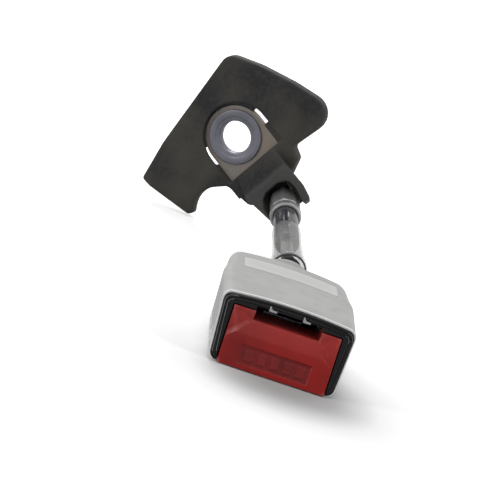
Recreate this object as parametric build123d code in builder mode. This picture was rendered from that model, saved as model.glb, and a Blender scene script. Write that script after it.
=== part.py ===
from build123d import *
from math import atan2, cos, degrees, pi, radians, sin, tan
import os

# Seat belt buckle on a wire rope stalk, with a bolt-on anchor under a moulded cap.
#
# The origin is the centre of the anchor's bolt hole. +Y runs from the press button towards the
# anchor, +Z is up from the buckle head's flat base, and +X is to the right as seen from the button.

# ---------------------------------------------------------------- placement of the two ends
HEAD_OFFSET_X = 28.5  # head centre line, measured from the bolt hole
HEAD_OFFSET_Y = -187.0  # top front edge of the head
BOLT_HEIGHT = 40.6  # bolt hole above the head's base plane
ANCHOR_YAW = 20.0  # turn of the anchor plate about the vertical

# ---------------------------------------------------------------- head shell
HEAD_TOP_WIDTH = 55.0
HEAD_BASE_WIDTH = 51.4
HEAD_HEIGHT = 28.0
HEAD_LENGTH = 68.5
HEAD_TOP_DROP = 0.8
HEAD_CROWN = 1.5
HEAD_TAPER_START = 34.0
HEAD_REAR_STATIONS = (  # reach, loss of half width, rise of the base and drop of the top
    (46.0, 1.5, 0.0),
    (55.0, 2.3, 0.0),
    (60.0, 3.2, 0.1),
    (64.0, 4.8, 0.7),
    (67.0, 7.4, 2.2),
    (68.5, 10.5, 4.2),
)
HEAD_TOP_RADIUS = 3.4
HEAD_BASE_RADIUS = 3.6
FACE_LEAN = 17.0  # the front face leans back by this angle
COVER_WALL = 1.4
PARTING_HEIGHT = 4.0
PARTING_REAR = 57.0
PARTING_GAP = 0.2
LOWER_FRONT = 5.0  # front edge of the lower cover

# ---------------------------------------------------------------- rope exit
ROPE_AXIS_HEIGHT = 13.9
ROPE_DIAMETER = 5.6
NECK_LENGTH = 12.0
NECK_ROOT_RADIUS = 9.4
NECK_TIP_RADIUS = 7.2
GROMMET_RADIUS = 5.2
GROMMET_TIP_RADIUS = 4.2
GROMMET_START = 71.0
GROMMET_TIP_LENGTH = 3.4
GROMMET_CLEARANCE = 0.3
GROMMET_RIB_RADIUS = 6.2
GROMMET_RIB_START = 73.5
GROMMET_RIB_LENGTH = 2.0
NECK_EDGE = 1.0
NECK_INSET = 3.0  # how far the neck reaches into the shell
ROPE_START = 61.0
ROPE_BEND_CLEARANCE = 2.1  # straight rope between the grommet's tip and the first bend

# ---------------------------------------------------------------- bezel, button and tongue slot
BEZEL_PROUD = 0.7
BEZEL_DEPTH = 18.0
BEZEL_FIT = 0.1
LIP_GROOVE_WIDTH = 0.7
LIP_WIDTH = 1.0
LIP_GROOVE_DEPTH = 0.8
BUTTON_TOP = 22.4
BUTTON_BASE = 0.35
BUTTON_WALL = 1.8
BUTTON_SPRING_ROOM = 4.7  # between the frame's side and the button's wall
BUTTON_PROUD = 1.6
BUTTON_TRAVEL = 6.0
BUTTON_SKIRT_END = 11.0
SLIDE_GAP = 0.4
SLOT_WIDTH = 26.4
SLOT_FLOOR = 18.6
SLOT_CEILING = 24.3
BEVEL_FOOT = 13.1
BEVEL_DEPTH = 3.0
BEVEL_FOOT_WIDTH = 37.4
PANEL_WIDTH = 28.5
PANEL_HEIGHT = 7.8
PANEL_CENTRE = 5.9
PANEL_DEPTH = 0.7
TILE_COUNT = 5
TILE_WIDTH = 3.2
TILE_PITCH = 5.2
TILE_HEIGHT = 4.4
TILE_RISE = 0.4
BUTTON_EDGE = 0.5
CLIP_SPACING = 13.8
CLIP_WIDTH = 3.2
CLIP_LENGTH = 5.0
CLIP_THICKNESS = 0.4
CLIP_HOOK = 2.0  # height of the clip's fold on the bezel's face
BUTTON_RIB_INNER = 15.9  # ribs that push the lock slider's pin
BUTTON_RIB_OUTER = 17.9
BUTTON_RIB_BASE = 5.0
BUTTON_RIB_TOP = 10.5
BUTTON_SEAT_START = 6.0
BUTTON_FLOOR_END = -1.5

# ---------------------------------------------------------------- latch works
FRAME_WIDTH = 30.8
FRAME_GAUGE = 1.6
FRAME_FRONT = 18.5
FRAME_REAR = 58.5
FRAME_SKIRT_BASE = 5.6
FRAME_RIBS = (31.0, 51.0)  # where the lower cover carries the frame
FRAME_RIB_LENGTH = 4.0
FRAME_SEAT_LENGTH = 2.0  # turned-down tab that holds the ejector spring
FRAME_SEAT_HALF = 4.0
CHANNEL_FLOOR = 18.3
CHANNEL_HEIGHT = 4.5
LATCH_PIVOT_Y = 44.0
LATCH_PIVOT_Z = 12.0
LATCH_PIN_DIAMETER = 4.0
LATCH_HUB_RADIUS = 3.5
LATCH_PLATE = 2.2
LATCH_WIDTH = 16.0
LATCH_HUB_WIDTH = 25.6
PAWL_FRONT = 23.8
PAWL_LENGTH = 2.8
PAWL_TOP = 16.2
EJECTOR_FRONT = 24.4
EJECTOR_LENGTH = 15.0
EJECTOR_WIDTH = 21.0
FIT_GAP = 0.3
RUNNING_GAP = 0.05
LOCK_BASE = 6.3
LOCK_THICKNESS = 1.7
LOCK_WIDTH = 25.4
LOCK_LEG_WIDTH = 3.2
LOCK_FRONT = 19.6
LOCK_BRIDGE = 4.4
LOCK_LEG_END = 38.0
LOCK_PIN_DIAMETER = 3.0
LOCK_PIN_HEIGHT = 8.6
LOCK_CROWN = 0.4
SOCKET_RADIUS = 3.6
SOCKET_LENGTH = 11.5
SOCKET_EYE_Y = 54.0
SOCKET_EYE_LENGTH = 9.0
SOCKET_EYE_WIDTH = 11.0
SOCKET_PIN_DIAMETER = 5.0
PIN_HEAD_THICKNESS = 1.2
PIN_HEAD_EXTRA = 1.2

# ---------------------------------------------------------------- springs
BUTTON_SPRING_Z = 13.5
BUTTON_SPRING_RADIUS = 1.4
BUTTON_SPRING_WIRE = 0.5
BUTTON_SPRING_START = 7.6
BUTTON_SPRING_END = 24.0
BUTTON_SPRING_TURNS = 7
POST_INNER = 18.7  # spring posts of the lower cover
POST_OUTER = 21.2
POST_TOP = 16.0
POST_THICKNESS = 2.0
SPRING_CLEARANCE = 0.35
EJECTOR_SPRING_RADIUS = 1.4
EJECTOR_SPRING_WIRE = 0.5
EJECTOR_SPRING_TURNS = 7
LATCH_SPRING_RADIUS = 2.0
LATCH_SPRING_WIRE = 0.5
LATCH_SPRING_TURNS = 4
LATCH_SPRING_Y = 34.0
LATCH_SPRING_BASE = 5.4

# ---------------------------------------------------------------- blank label
LABEL_LENGTH = 14.0
LABEL_WIDTH = 39.0
LABEL_START = 39.0
LABEL_THICKNESS = 0.2

# ---------------------------------------------------------------- stalk
STALK_MOUTH = (3.5, 100.0, 14.7)  # centre of the boot's mouth, from the head's reference point
STALK_END = (-0.9, 171.3, 24.4)  # far end of the crimped ferrule
ROPE_BEND_LEAD = 3.0  # last bend of the rope, ahead of the boot's mouth
BEND_SHARE = 0.45  # share of the shorter run that each rope bend takes
SLEEVE_RADIUS = 5.3
SLEEVE_WALL = 1.6
SLEEVE_START = 26.0
SLEEVE_GRIP = 2.0
BOOT_RADIUS = 6.2
BOOT_WALL = 0.8
BOOT_MOUTH_RADIUS = 7.7
BOOT_LENGTH = 39.0
BOOT_FLARE_LENGTH = 24.0
BOOT_RIM_WIDTH = 1.0
BOOT_RIM_LENGTH = 1.2
BOOT_SEAL_START = 3.0
BOOT_SEAL_LENGTH = 4.0
FERRULE_FLATS = 12.2
FERRULE_LENGTH = 13.6
FERRULE_SIDES = 8
FERRULE_ROLL = 2.7
FERRULE_EDGE = 0.5
FERRULE_COLLAR_RADIUS = 6.8
FERRULE_COLLAR_LENGTH = 5.4

# ---------------------------------------------------------------- anchor
BOLT_HOLE_RADIUS = 7.0
BUSH_RADIUS = 9.6
BUSH_FLANGE_RADIUS = 12.0
BUSH_FLANGE = 1.0
BUSH_LENGTH = 5.0
BRACKET_GAUGE = 3.0
BRACKET_WIDTH = 27.6
STRIP_ANGLE = -29.5  # slope of the strip in the plane of the anchor plate
STRIP_SHOULDER = 17.0  # where the strip starts to narrow
BEND_INNER_RADIUS = 3.0
TAB_WIDTH = 8.6
TAB_REACH = 9.0
FERRULE_GAP = 1.0  # between the rope and the bracket tab, inside the ferrule
CAP_FACE = 2.2  # height of the cap's inner face above the bracket's middle plane
CAP_WALL = 2.4
CAP_SKIRT = 4.0
CAP_EDGE = 1.6
CAP_BEVEL = 0.8
WINDOW_RADIUS = 15.7
WINDOW_CENTRE = (1.2, 1.3)
WINDOW_END = 14.1
HOOD_HEIGHT = 11.0
HOOD_START = 25.0  # crest of the ramp, along the strip
HOOD_BAR_END = 28.4
HOOD_LEFT = -10.0
HOOD_RIGHT = 14.7
HOOD_LEAN = 22.0  # the hood's right wall leans over the ferrule
HOOD_WALL = 3.0
HOOD_RIGHT_END = 42.3
HOOD_LEFT_WALL = ((28.4, -8.8), (40.0, -6.8), (40.0, -5.8), (28.4, -5.6))
HOOD_SHELF_RIGHT = 8.0
WINDOW_LEDGE = 0.6  # by which the collar under the window's edge is wider
WINDOW_SLIT_HALF = 4.0  # slits beside the bracket's round end
STRAP_START = 4.0
STRAP_END = 25.0
STRAP_BRIDGE_START = 13.5  # where the strap runs right across behind the strip
STRAP_WALL = 2.0

# ---------------------------------------------------------------- values worked out from them
WIDE = 80.0  # larger than any piece, for cuts that run right through
HEAD = Vector(HEAD_OFFSET_X, HEAD_OFFSET_Y, -BOLT_HEIGHT)
FACE_NORMAL = Vector(0, -cos(radians(FACE_LEAN)), sin(radians(FACE_LEAN)))
FRONT_REACH = HEAD_HEIGHT * tan(radians(FACE_LEAN)) + 3 * BUTTON_PROUD
PLATE_BASE = CHANNEL_FLOOR + CHANNEL_HEIGHT
CHANNEL_HALF = FRAME_WIDTH / 2 - FRAME_GAUGE
BUTTON_WIDTH = FRAME_WIDTH + 2 * (BUTTON_SPRING_ROOM + BUTTON_WALL)
LATCH_PIN_RADIUS = LATCH_PIN_DIAMETER / 2
LOCK_PIN_RADIUS = LOCK_PIN_DIAMETER / 2
LOCK_PIN_Y = LOCK_FRONT + LOCK_BRIDGE / 2
SOCKET_PIN_RADIUS = SOCKET_PIN_DIAMETER / 2
ROPE_RADIUS = ROPE_DIAMETER / 2
BUTTON_SPRING_REACH = BUTTON_SPRING_RADIUS + BUTTON_SPRING_WIRE / 2 + SPRING_CLEARANCE
BUTTON_SPRING_X = BUTTON_WIDTH / 2 - BUTTON_WALL - BUTTON_SPRING_REACH
ROPE_BEND = HEAD_LENGTH + NECK_LENGTH + GROMMET_TIP_LENGTH + ROPE_BEND_CLEARANCE
EJECTOR_BASE = CHANNEL_FLOOR + FIT_GAP
EJECTOR_TOP = PLATE_BASE - FIT_GAP
EJECTOR_BACK = EJECTOR_FRONT + EJECTOR_LENGTH
NECK_END = HEAD_LENGTH + NECK_LENGTH

ANCHOR_RIGHT = Vector(cos(radians(ANCHOR_YAW)), -sin(radians(ANCHOR_YAW)), 0)
ANCHOR_NORMAL = Vector(-sin(radians(ANCHOR_YAW)), -cos(radians(ANCHOR_YAW)), 0)
STRIP_ALONG = ANCHOR_RIGHT * cos(radians(STRIP_ANGLE)) + Vector(0, 0, sin(radians(STRIP_ANGLE)))
STRIP_ACROSS = ANCHOR_NORMAL.cross(STRIP_ALONG)
STALK_FOOT = HEAD + Vector(*STALK_MOUTH)
STALK_TOP = HEAD + Vector(*STALK_END)
STALK_ALONG = (STALK_TOP - STALK_FOOT).normalized()
STALK_SIDE = STALK_ALONG.cross(Vector(0, 0, 1)).normalized()
STALK_AXIS = Axis(STALK_FOOT, STALK_ALONG)
FERRULE_END = (STALK_TOP - STALK_FOOT).length
FERRULE_START = FERRULE_END - FERRULE_LENGTH
COLLAR_START = FERRULE_START - FERRULE_COLLAR_LENGTH
ROPE_END = FERRULE_END - TAB_REACH - FERRULE_GAP

# The bracket's tab is bent so that it points down the stalk.
BEND_ANGLE = degrees(atan2(-STALK_ALONG.dot(ANCHOR_NORMAL), -STALK_ALONG.dot(STRIP_ALONG)))
BEND_RADIUS = BEND_INNER_RADIUS + BRACKET_GAUGE / 2
BEND_RISE = BEND_RADIUS * (1 - cos(radians(BEND_ANGLE)))
TAB_RUN = (STALK_TOP.dot(ANCHOR_NORMAL) - BEND_RISE) / sin(radians(BEND_ANGLE))
BEND_ADVANCE = BEND_RADIUS * sin(radians(BEND_ANGLE)) + TAB_RUN * cos(radians(BEND_ANGLE))
BEND_START = STALK_TOP.dot(STRIP_ALONG) - BEND_ADVANCE
TAB_OFFSET = STALK_TOP.dot(STRIP_ACROSS)


# ---------------------------------------------------------------- working planes
def plan(height):
    """Plane level with the head's base, at a height above it: local x and y are X and Y."""
    return Plane(HEAD + Vector(0, 0, height), x_dir=(1, 0, 0), z_dir=(0, 0, 1))


def section(reach):
    """Plane across the head, at a distance from its top front edge: local x and y are X and Z."""
    return Plane(HEAD + Vector(0, reach, 0), x_dir=(1, 0, 0), z_dir=(0, -1, 0))


def side(offset):
    """Plane along the head, at an offset from its centre: local x and y are Y and Z."""
    return Plane(HEAD + Vector(offset, 0, 0), x_dir=(0, 1, 0), z_dir=(1, 0, 0))


def face_plane(proud):
    """Leaning plane of the head's front face, moved out by an amount."""
    return Plane(HEAD + Vector(0, 0, HEAD_HEIGHT) + FACE_NORMAL * proud, x_dir=(1, 0, 0), z_dir=FACE_NORMAL)


def anchor_plane(height):
    """Plane of the anchor plate, at a height towards the button."""
    return Plane(ANCHOR_NORMAL * height, x_dir=ANCHOR_RIGHT, z_dir=ANCHOR_NORMAL)


def strip_plane(height):
    """The anchor plane turned along the bracket's strip."""
    return Plane(ANCHOR_NORMAL * height, x_dir=STRIP_ALONG, z_dir=ANCHOR_NORMAL)


def strip_side(offset):
    """Plane through the strip's length and thickness, at an offset across it."""
    return Plane(STRIP_ACROSS * offset, x_dir=STRIP_ALONG, z_dir=STRIP_ALONG.cross(ANCHOR_NORMAL))


def strip_section(reach):
    """Plane across the bracket's strip: local x and y are across the strip and out from the plate."""
    return Plane(STRIP_ALONG * reach, x_dir=STRIP_ACROSS, z_dir=STRIP_ALONG)


def stalk_plane(reach):
    """Plane across the stalk, at a distance from the boot's mouth towards the anchor."""
    return Plane(STALK_FOOT + STALK_ALONG * reach, x_dir=STALK_SIDE, z_dir=STALK_ALONG)


STALK_PROFILE = Plane(STALK_FOOT, x_dir=STALK_SIDE, z_dir=STALK_SIDE.cross(STALK_ALONG))
ROPE_LINE = Axis(HEAD + Vector(0, 0, ROPE_AXIS_HEIGHT), (0, 1, 0))
ROPE_PROFILE = Plane(HEAD + Vector(0, 0, ROPE_AXIS_HEIGHT), x_dir=(1, 0, 0), z_dir=(0, 0, 1))


# ---------------------------------------------------------------- small helpers
def box_between(plane, x_range, y_range, depth, mode):
    """Box on a plane, between two local x values and two local y values."""
    with BuildSketch(plane) as outline:
        with Locations((sum(x_range) / 2, sum(y_range) / 2)):
            Rectangle(x_range[1] - x_range[0], y_range[1] - y_range[0])
    extrude(outline.sketch, amount=depth, mode=mode)


def block(x_range, y_range, z_range, mode=Mode.ADD):
    """Box in head coordinates."""
    box_between(plan(z_range[0]), x_range, y_range, z_range[1] - z_range[0], mode)


def mirrored_blocks(x_range, y_range, z_range, mode=Mode.ADD):
    """The same box on both sides of the head's centre plane."""
    block(x_range, y_range, z_range, mode)
    block((-x_range[1], -x_range[0]), y_range, z_range, mode)


def strip_block(s_range, t_range, n_range, mode=Mode.ADD):
    """Box along the bracket's strip: along, across and out from the anchor plate."""
    box_between(strip_plane(n_range[0]), s_range, t_range, n_range[1] - n_range[0], mode)


def cross_rod(radius, x_range, reach, height, mode=Mode.ADD):
    """Round bar across the head."""
    with BuildSketch(side(x_range[0])) as outline:
        with Locations((reach, height)):
            Circle(radius)
    extrude(outline.sketch, amount=x_range[1] - x_range[0], mode=mode)


def headed_pin(radius, reach, height):
    """Riveted pin through both walls of the steel frame."""
    half = FRAME_WIDTH / 2
    cross_rod(radius, (-half, half), reach, height)
    cross_rod(radius + PIN_HEAD_EXTRA, (half, half + PIN_HEAD_THICKNESS), reach, height)
    cross_rod(radius + PIN_HEAD_EXTRA, (-half - PIN_HEAD_THICKNESS, -half), reach, height)


def turned_on(plane, axis, points, mode=Mode.ADD):
    """Solid turned about an axis, from points given as radius and distance along it."""
    with BuildSketch(plane) as outline:
        with BuildLine():
            Polyline(*points, close=True)
        make_face()
    revolve(outline.sketch, axis=axis, mode=mode)


def turned(points, mode=Mode.ADD):
    """Solid turned about the stalk."""
    turned_on(STALK_PROFILE, STALK_AXIS, points, mode)


def tube(inner, outer, start, end):
    """Round tube on the stalk."""
    turned(((inner, start), (outer, start), (outer, end), (inner, end)))


def coil(wire, turns, radius, start, direction, length):
    """Open compression spring between two seats, its end turns just clear of them."""
    margin = wire / 2 + RUNNING_GAP
    free = length - 2 * margin
    foot = start + direction * margin
    path = Helix(pitch=free / turns, height=free, radius=radius, center=foot, direction=direction)
    with BuildSketch(Plane(path @ 0, z_dir=path % 0)) as outline:
        Circle(wire / 2)
    sweep(outline.sketch, path=path, is_frenet=True)


def head_section(reach, narrowing, rise, inset):
    """Cross-section of the head shell, moved in by the inset."""
    top = HEAD_TOP_WIDTH / 2 - narrowing - inset
    base = HEAD_BASE_WIDTH / 2 - narrowing - inset
    floor_line = rise + inset
    ridge = HEAD_HEIGHT - HEAD_TOP_DROP * reach / HEAD_LENGTH - rise - inset
    shoulder = ridge - HEAD_CROWN
    with BuildSketch(section(reach)) as outline:
        with BuildLine():
            Line((-base, floor_line), (base, floor_line))
            Line((base, floor_line), (top, shoulder))
            ThreePointArc((top, shoulder), (0, ridge), (-top, shoulder))
            Line((-top, shoulder), (-base, floor_line))
        make_face()
        corners = outline.vertices().sort_by(Axis.Y)
        fillet(corners[:2], HEAD_BASE_RADIUS - inset / 2)
        fillet(corners[-2:], HEAD_TOP_RADIUS - inset / 2)
    return outline.sketch


def head_form(inset, rear_inset):
    """Tapering solid of the head shell, moved in by the inset."""
    profiles = [head_section(reach, 0.0, 0.0, inset) for reach in (-FRONT_REACH, HEAD_TAPER_START)]
    for reach, narrowing, rise in HEAD_REAR_STATIONS:
        profiles.append(head_section(reach - rear_inset, narrowing, rise, inset))
    loft(profiles, ruled=True)


# ---------------------------------------------------------------- head covers
with BuildPart() as shell_outer:
    head_form(0.0, 0.0)
    split(bisect_by=face_plane(0.0), keep=Keep.BOTTOM)

with BuildPart() as shell_cavity:
    head_form(COVER_WALL, COVER_WALL)

with BuildPart() as shell_neck:
    neck_start = HEAD_LENGTH - NECK_INSET
    turned_on(
        ROPE_PROFILE,
        ROPE_LINE,
        ((0, neck_start), (NECK_ROOT_RADIUS, neck_start), (NECK_TIP_RADIUS, NECK_END), (0, NECK_END)),
    )
    fillet(shell_neck.edges().sort_by(Axis.Y)[-1], NECK_EDGE)

rib_end = GROMMET_RIB_START + GROMMET_RIB_LENGTH
with BuildPart() as head_shell:
    add(shell_outer.part)
    add(shell_neck.part)
    add(shell_cavity.part, mode=Mode.SUBTRACT)
    turned_on(
        ROPE_PROFILE,
        ROPE_LINE,
        (
            (0, HEAD_LENGTH - NECK_INSET),
            (GROMMET_RADIUS, HEAD_LENGTH - NECK_INSET),
            (GROMMET_RADIUS, GROMMET_RIB_START),
            (GROMMET_RIB_RADIUS, GROMMET_RIB_START),
            (GROMMET_RIB_RADIUS, rib_end),
            (GROMMET_RADIUS, rib_end),
            (GROMMET_RADIUS, NECK_END + COVER_WALL),
            (0, NECK_END + COVER_WALL),
        ),
        Mode.SUBTRACT,
    )

with BuildPart() as upper_cover:
    add(head_shell.part)
    with BuildSketch(side(-WIDE)) as above_parting:
        with BuildLine():
            Polyline(
                (-WIDE, -WIDE),
                (LOWER_FRONT - PARTING_GAP, -WIDE),
                (LOWER_FRONT - PARTING_GAP, PARTING_HEIGHT),
                (PARTING_REAR, PARTING_HEIGHT),
                (PARTING_REAR, ROPE_AXIS_HEIGHT),
                (2 * WIDE, ROPE_AXIS_HEIGHT),
                (2 * WIDE, WIDE),
                (-WIDE, WIDE),
                close=True,
            )
        make_face()
    extrude(amount=2 * WIDE, mode=Mode.INTERSECT)
    mouth_half = BUTTON_WIDTH / 2 + SLIDE_GAP
    block((-mouth_half, mouth_half), (-WIDE, LOWER_FRONT), (-WIDE, COVER_WALL + SLIDE_GAP), Mode.SUBTRACT)

with BuildPart() as lower_cover:
    add(head_shell.part)
    with BuildSketch(side(-WIDE)) as below_parting:
        with BuildLine():
            Polyline(
                (LOWER_FRONT, -WIDE),
                (LOWER_FRONT, PARTING_HEIGHT - PARTING_GAP),
                (PARTING_REAR + PARTING_GAP, PARTING_HEIGHT - PARTING_GAP),
                (PARTING_REAR + PARTING_GAP, ROPE_AXIS_HEIGHT - PARTING_GAP),
                (2 * WIDE, ROPE_AXIS_HEIGHT - PARTING_GAP),
                (2 * WIDE, -WIDE),
                close=True,
            )
        make_face()
    extrude(amount=2 * WIDE, mode=Mode.INTERSECT)
    for rib_start in FRAME_RIBS:
        rib_range = (rib_start, rib_start + FRAME_RIB_LENGTH)
        mirrored_blocks((CHANNEL_HALF, FRAME_WIDTH / 2), rib_range, (COVER_WALL, FRAME_SKIRT_BASE))
    post_range = (BUTTON_SPRING_END, BUTTON_SPRING_END + POST_THICKNESS)
    seat_reach = BUTTON_SPRING_RADIUS + BUTTON_SPRING_WIRE
    mirrored_blocks((POST_INNER, POST_OUTER), post_range, (COVER_WALL, POST_TOP))
    mirrored_blocks(
        (BUTTON_SPRING_X - seat_reach, POST_OUTER),
        post_range,
        (BUTTON_SPRING_Z - seat_reach, POST_TOP),
    )
    with BuildSketch(plan(COVER_WALL)) as spring_boss:
        with Locations((0, LATCH_SPRING_Y)):
            Circle(LATCH_SPRING_RADIUS + 2 * LATCH_SPRING_WIRE)
    extrude(amount=LATCH_SPRING_BASE - COVER_WALL)

with BuildPart() as cover_core:
    head_form(0.0, 0.0)

with BuildPart() as label_plate:
    head_form(-LABEL_THICKNESS, 0.0)
    add(cover_core.part, mode=Mode.SUBTRACT)
    block(
        (-LABEL_WIDTH / 2, LABEL_WIDTH / 2),
        (LABEL_START, LABEL_START + LABEL_LENGTH),
        (HEAD_HEIGHT / 2, 2 * HEAD_HEIGHT),
        Mode.INTERSECT,
    )

# ---------------------------------------------------------------- bezel, slot clips and button
with BuildSketch(section(-FRONT_REACH)) as mouth_outline:
    with Locations((0, (BUTTON_TOP + SLIDE_GAP - HEAD_HEIGHT) / 2)):
        Rectangle(BUTTON_WIDTH + 2 * SLIDE_GAP, BUTTON_TOP + SLIDE_GAP + HEAD_HEIGHT)
    with Locations((0, SLOT_CEILING / 2)):
        Rectangle(SLOT_WIDTH, SLOT_CEILING)

with BuildPart() as lip_groove:
    with BuildSketch(section(-FRONT_REACH)) as groove_ring:
        add(mouth_outline.sketch)
        offset(amount=LIP_WIDTH + LIP_GROOVE_WIDTH, kind=Kind.INTERSECTION)
    extrude(amount=-FRONT_REACH - SLOT_WIDTH)
    with BuildSketch(section(-FRONT_REACH)) as lip_ring:
        add(mouth_outline.sketch)
        offset(amount=LIP_WIDTH, kind=Kind.INTERSECTION)
    extrude(amount=-FRONT_REACH - SLOT_WIDTH, mode=Mode.SUBTRACT)
    split(bisect_by=face_plane(BEZEL_PROUD - LIP_GROOVE_DEPTH), keep=Keep.TOP)

with BuildPart() as bezel:
    head_form(COVER_WALL + BEZEL_FIT, 0.0)
    split(bisect_by=face_plane(BEZEL_PROUD), keep=Keep.BOTTOM)
    block((-WIDE, WIDE), (-WIDE, BEZEL_DEPTH), (-WIDE, WIDE), Mode.INTERSECT)
    extrude(mouth_outline.sketch, amount=-FRONT_REACH - BEZEL_DEPTH - WIDE, mode=Mode.SUBTRACT)
    add(lip_groove.part, mode=Mode.SUBTRACT)

clip_fold = -(HEAD_HEIGHT - SLOT_CEILING) / cos(radians(FACE_LEAN))
with BuildPart() as slot_clips:
    for clip_middle in (-CLIP_SPACING / 2, CLIP_SPACING / 2):
        clip_range = (clip_middle - CLIP_WIDTH / 2, clip_middle + CLIP_WIDTH / 2)
        block(clip_range, (-FRONT_REACH, CLIP_LENGTH), (SLOT_CEILING - CLIP_THICKNESS, SLOT_CEILING))
        box_between(
            face_plane(BEZEL_PROUD),
            clip_range,
            (clip_fold - CLIP_THICKNESS, clip_fold + CLIP_HOOK),
            CLIP_THICKNESS,
            Mode.ADD,
        )
    split(bisect_by=face_plane(BEZEL_PROUD + CLIP_THICKNESS), keep=Keep.BOTTOM)

face_drop = cos(radians(FACE_LEAN))
bevel_start = -(HEAD_HEIGHT - BEVEL_FOOT) * tan(radians(FACE_LEAN)) - BUTTON_PROUD / face_drop
bevel_end = -(HEAD_HEIGHT - SLOT_FLOOR) * tan(radians(FACE_LEAN)) - BUTTON_PROUD / face_drop + BEVEL_DEPTH
bevel_slope = Vector(0, bevel_end - bevel_start, SLOT_FLOOR - BEVEL_FOOT)
with BuildPart() as button_bevel:
    with BuildSketch(section(-FRONT_REACH)) as bevel_outline:
        with BuildLine():
            Polyline(
                (-BEVEL_FOOT_WIDTH / 2, BEVEL_FOOT),
                (BEVEL_FOOT_WIDTH / 2, BEVEL_FOOT),
                (SLOT_WIDTH / 2, SLOT_FLOOR),
                (-SLOT_WIDTH / 2, SLOT_FLOOR),
                close=True,
            )
        make_face()
    extrude(amount=-FRONT_REACH - BUTTON_SKIRT_END)
    split(
        bisect_by=Plane(
            HEAD + Vector(0, bevel_start, BEVEL_FOOT),
            x_dir=(1, 0, 0),
            z_dir=Vector(1, 0, 0).cross(bevel_slope),
        ),
        keep=Keep.TOP,
    )

button_half = BUTTON_WIDTH / 2
button_inner = button_half - BUTTON_WALL
panel_middle = -(HEAD_HEIGHT - PANEL_CENTRE) / face_drop
with BuildPart() as button_body:
    block((-button_half, button_half), (-FRONT_REACH, BUTTON_SKIRT_END), (BUTTON_BASE, BUTTON_TOP))
    notch_width = (-SLOT_WIDTH / 2, SLOT_WIDTH / 2)
    block(notch_width, (-FRONT_REACH, BUTTON_SKIRT_END), (SLOT_FLOOR, HEAD_HEIGHT), Mode.SUBTRACT)
    split(bisect_by=face_plane(BUTTON_PROUD), keep=Keep.BOTTOM)
    add(button_bevel.part, mode=Mode.SUBTRACT)
    fillet(
        button_body.edges().filter_by(GeomType.LINE).filter_by(Axis.X).group_by(Axis.Y)[0],
        BUTTON_EDGE,
    )
    with BuildSketch(face_plane(BUTTON_PROUD)) as panel_recess:
        with Locations((0, panel_middle)):
            RectangleRounded(PANEL_WIDTH, PANEL_HEIGHT, BUTTON_EDGE)
    extrude(amount=-PANEL_DEPTH, mode=Mode.SUBTRACT)
    with BuildSketch(face_plane(BUTTON_PROUD - PANEL_DEPTH)) as panel_tiles:
        with Locations((0, panel_middle)):
            with GridLocations(TILE_PITCH, TILE_HEIGHT, TILE_COUNT, 1):
                RectangleRounded(TILE_WIDTH, TILE_HEIGHT, BUTTON_EDGE)
    extrude(amount=TILE_RISE)

with BuildPart() as button_hollow:
    hollow_top = SLOT_FLOOR - BUTTON_WALL
    hollow_range = (-FRONT_REACH, BUTTON_SKIRT_END)
    block((-button_inner, button_inner), hollow_range, (BUTTON_BASE + BUTTON_WALL, hollow_top))
    shoulder_width = (SLOT_WIDTH / 2 + BUTTON_WALL, button_inner)
    mirrored_blocks(shoulder_width, hollow_range, (hollow_top, BUTTON_TOP - BUTTON_WALL))
    block((-button_inner, button_inner), (BUTTON_FLOOR_END, BUTTON_SKIRT_END), (-WIDE, hollow_top))
    split(bisect_by=face_plane(BUTTON_PROUD - BEVEL_DEPTH - BUTTON_WALL), keep=Keep.BOTTOM)

with BuildPart() as press_button:
    add(button_body.part)
    add(button_hollow.part, mode=Mode.SUBTRACT)
    block((-WIDE, WIDE), (BUTTON_FLOOR_END, WIDE), (-WIDE, COVER_WALL + SLIDE_GAP), Mode.SUBTRACT)
    mirrored_blocks(
        (BUTTON_RIB_INNER, BUTTON_RIB_OUTER),
        (BUTTON_FLOOR_END - BEVEL_DEPTH, LOCK_PIN_Y - LOCK_PIN_RADIUS - FIT_GAP),
        (BUTTON_RIB_BASE, BUTTON_RIB_TOP),
    )
    mirrored_blocks(
        (BUTTON_RIB_INNER, button_half),
        (BUTTON_SEAT_START, BUTTON_SPRING_START),
        (BUTTON_RIB_TOP, POST_TOP),
    )

# ---------------------------------------------------------------- latch works
frame_half = FRAME_WIDTH / 2
with BuildPart() as frame:
    frame_range = (FRAME_FRONT, FRAME_REAR)
    block((-frame_half, frame_half), frame_range, (PLATE_BASE, PLATE_BASE + FRAME_GAUGE))
    mirrored_blocks((CHANNEL_HALF, frame_half), frame_range, (FRAME_SKIRT_BASE, PLATE_BASE))
    block(
        (-FRAME_SEAT_HALF, FRAME_SEAT_HALF),
        (FRAME_REAR - FRAME_SEAT_LENGTH, FRAME_REAR),
        (EJECTOR_BASE, PLATE_BASE),
    )
    for pin_radius, pin_y, pin_z in (
        (LATCH_PIN_RADIUS, LATCH_PIVOT_Y, LATCH_PIVOT_Z),
        (SOCKET_PIN_RADIUS, SOCKET_EYE_Y, ROPE_AXIS_HEIGHT),
    ):
        cross_rod(pin_radius, (-WIDE, WIDE), pin_y, pin_z, Mode.SUBTRACT)
    with BuildSketch(side(-WIDE)) as lock_slots:
        with Locations((LOCK_PIN_Y + BUTTON_TRAVEL / 2, LOCK_PIN_HEIGHT)):
            SlotCenterToCenter(BUTTON_TRAVEL + 2 * RUNNING_GAP, LOCK_PIN_DIAMETER + 2 * RUNNING_GAP)
    extrude(amount=2 * WIDE, mode=Mode.SUBTRACT)

with BuildPart() as latch_pin:
    headed_pin(LATCH_PIN_RADIUS, LATCH_PIVOT_Y, LATCH_PIVOT_Z)

with BuildPart() as socket_pin:
    headed_pin(SOCKET_PIN_RADIUS, SOCKET_EYE_Y, ROPE_AXIS_HEIGHT)

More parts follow.
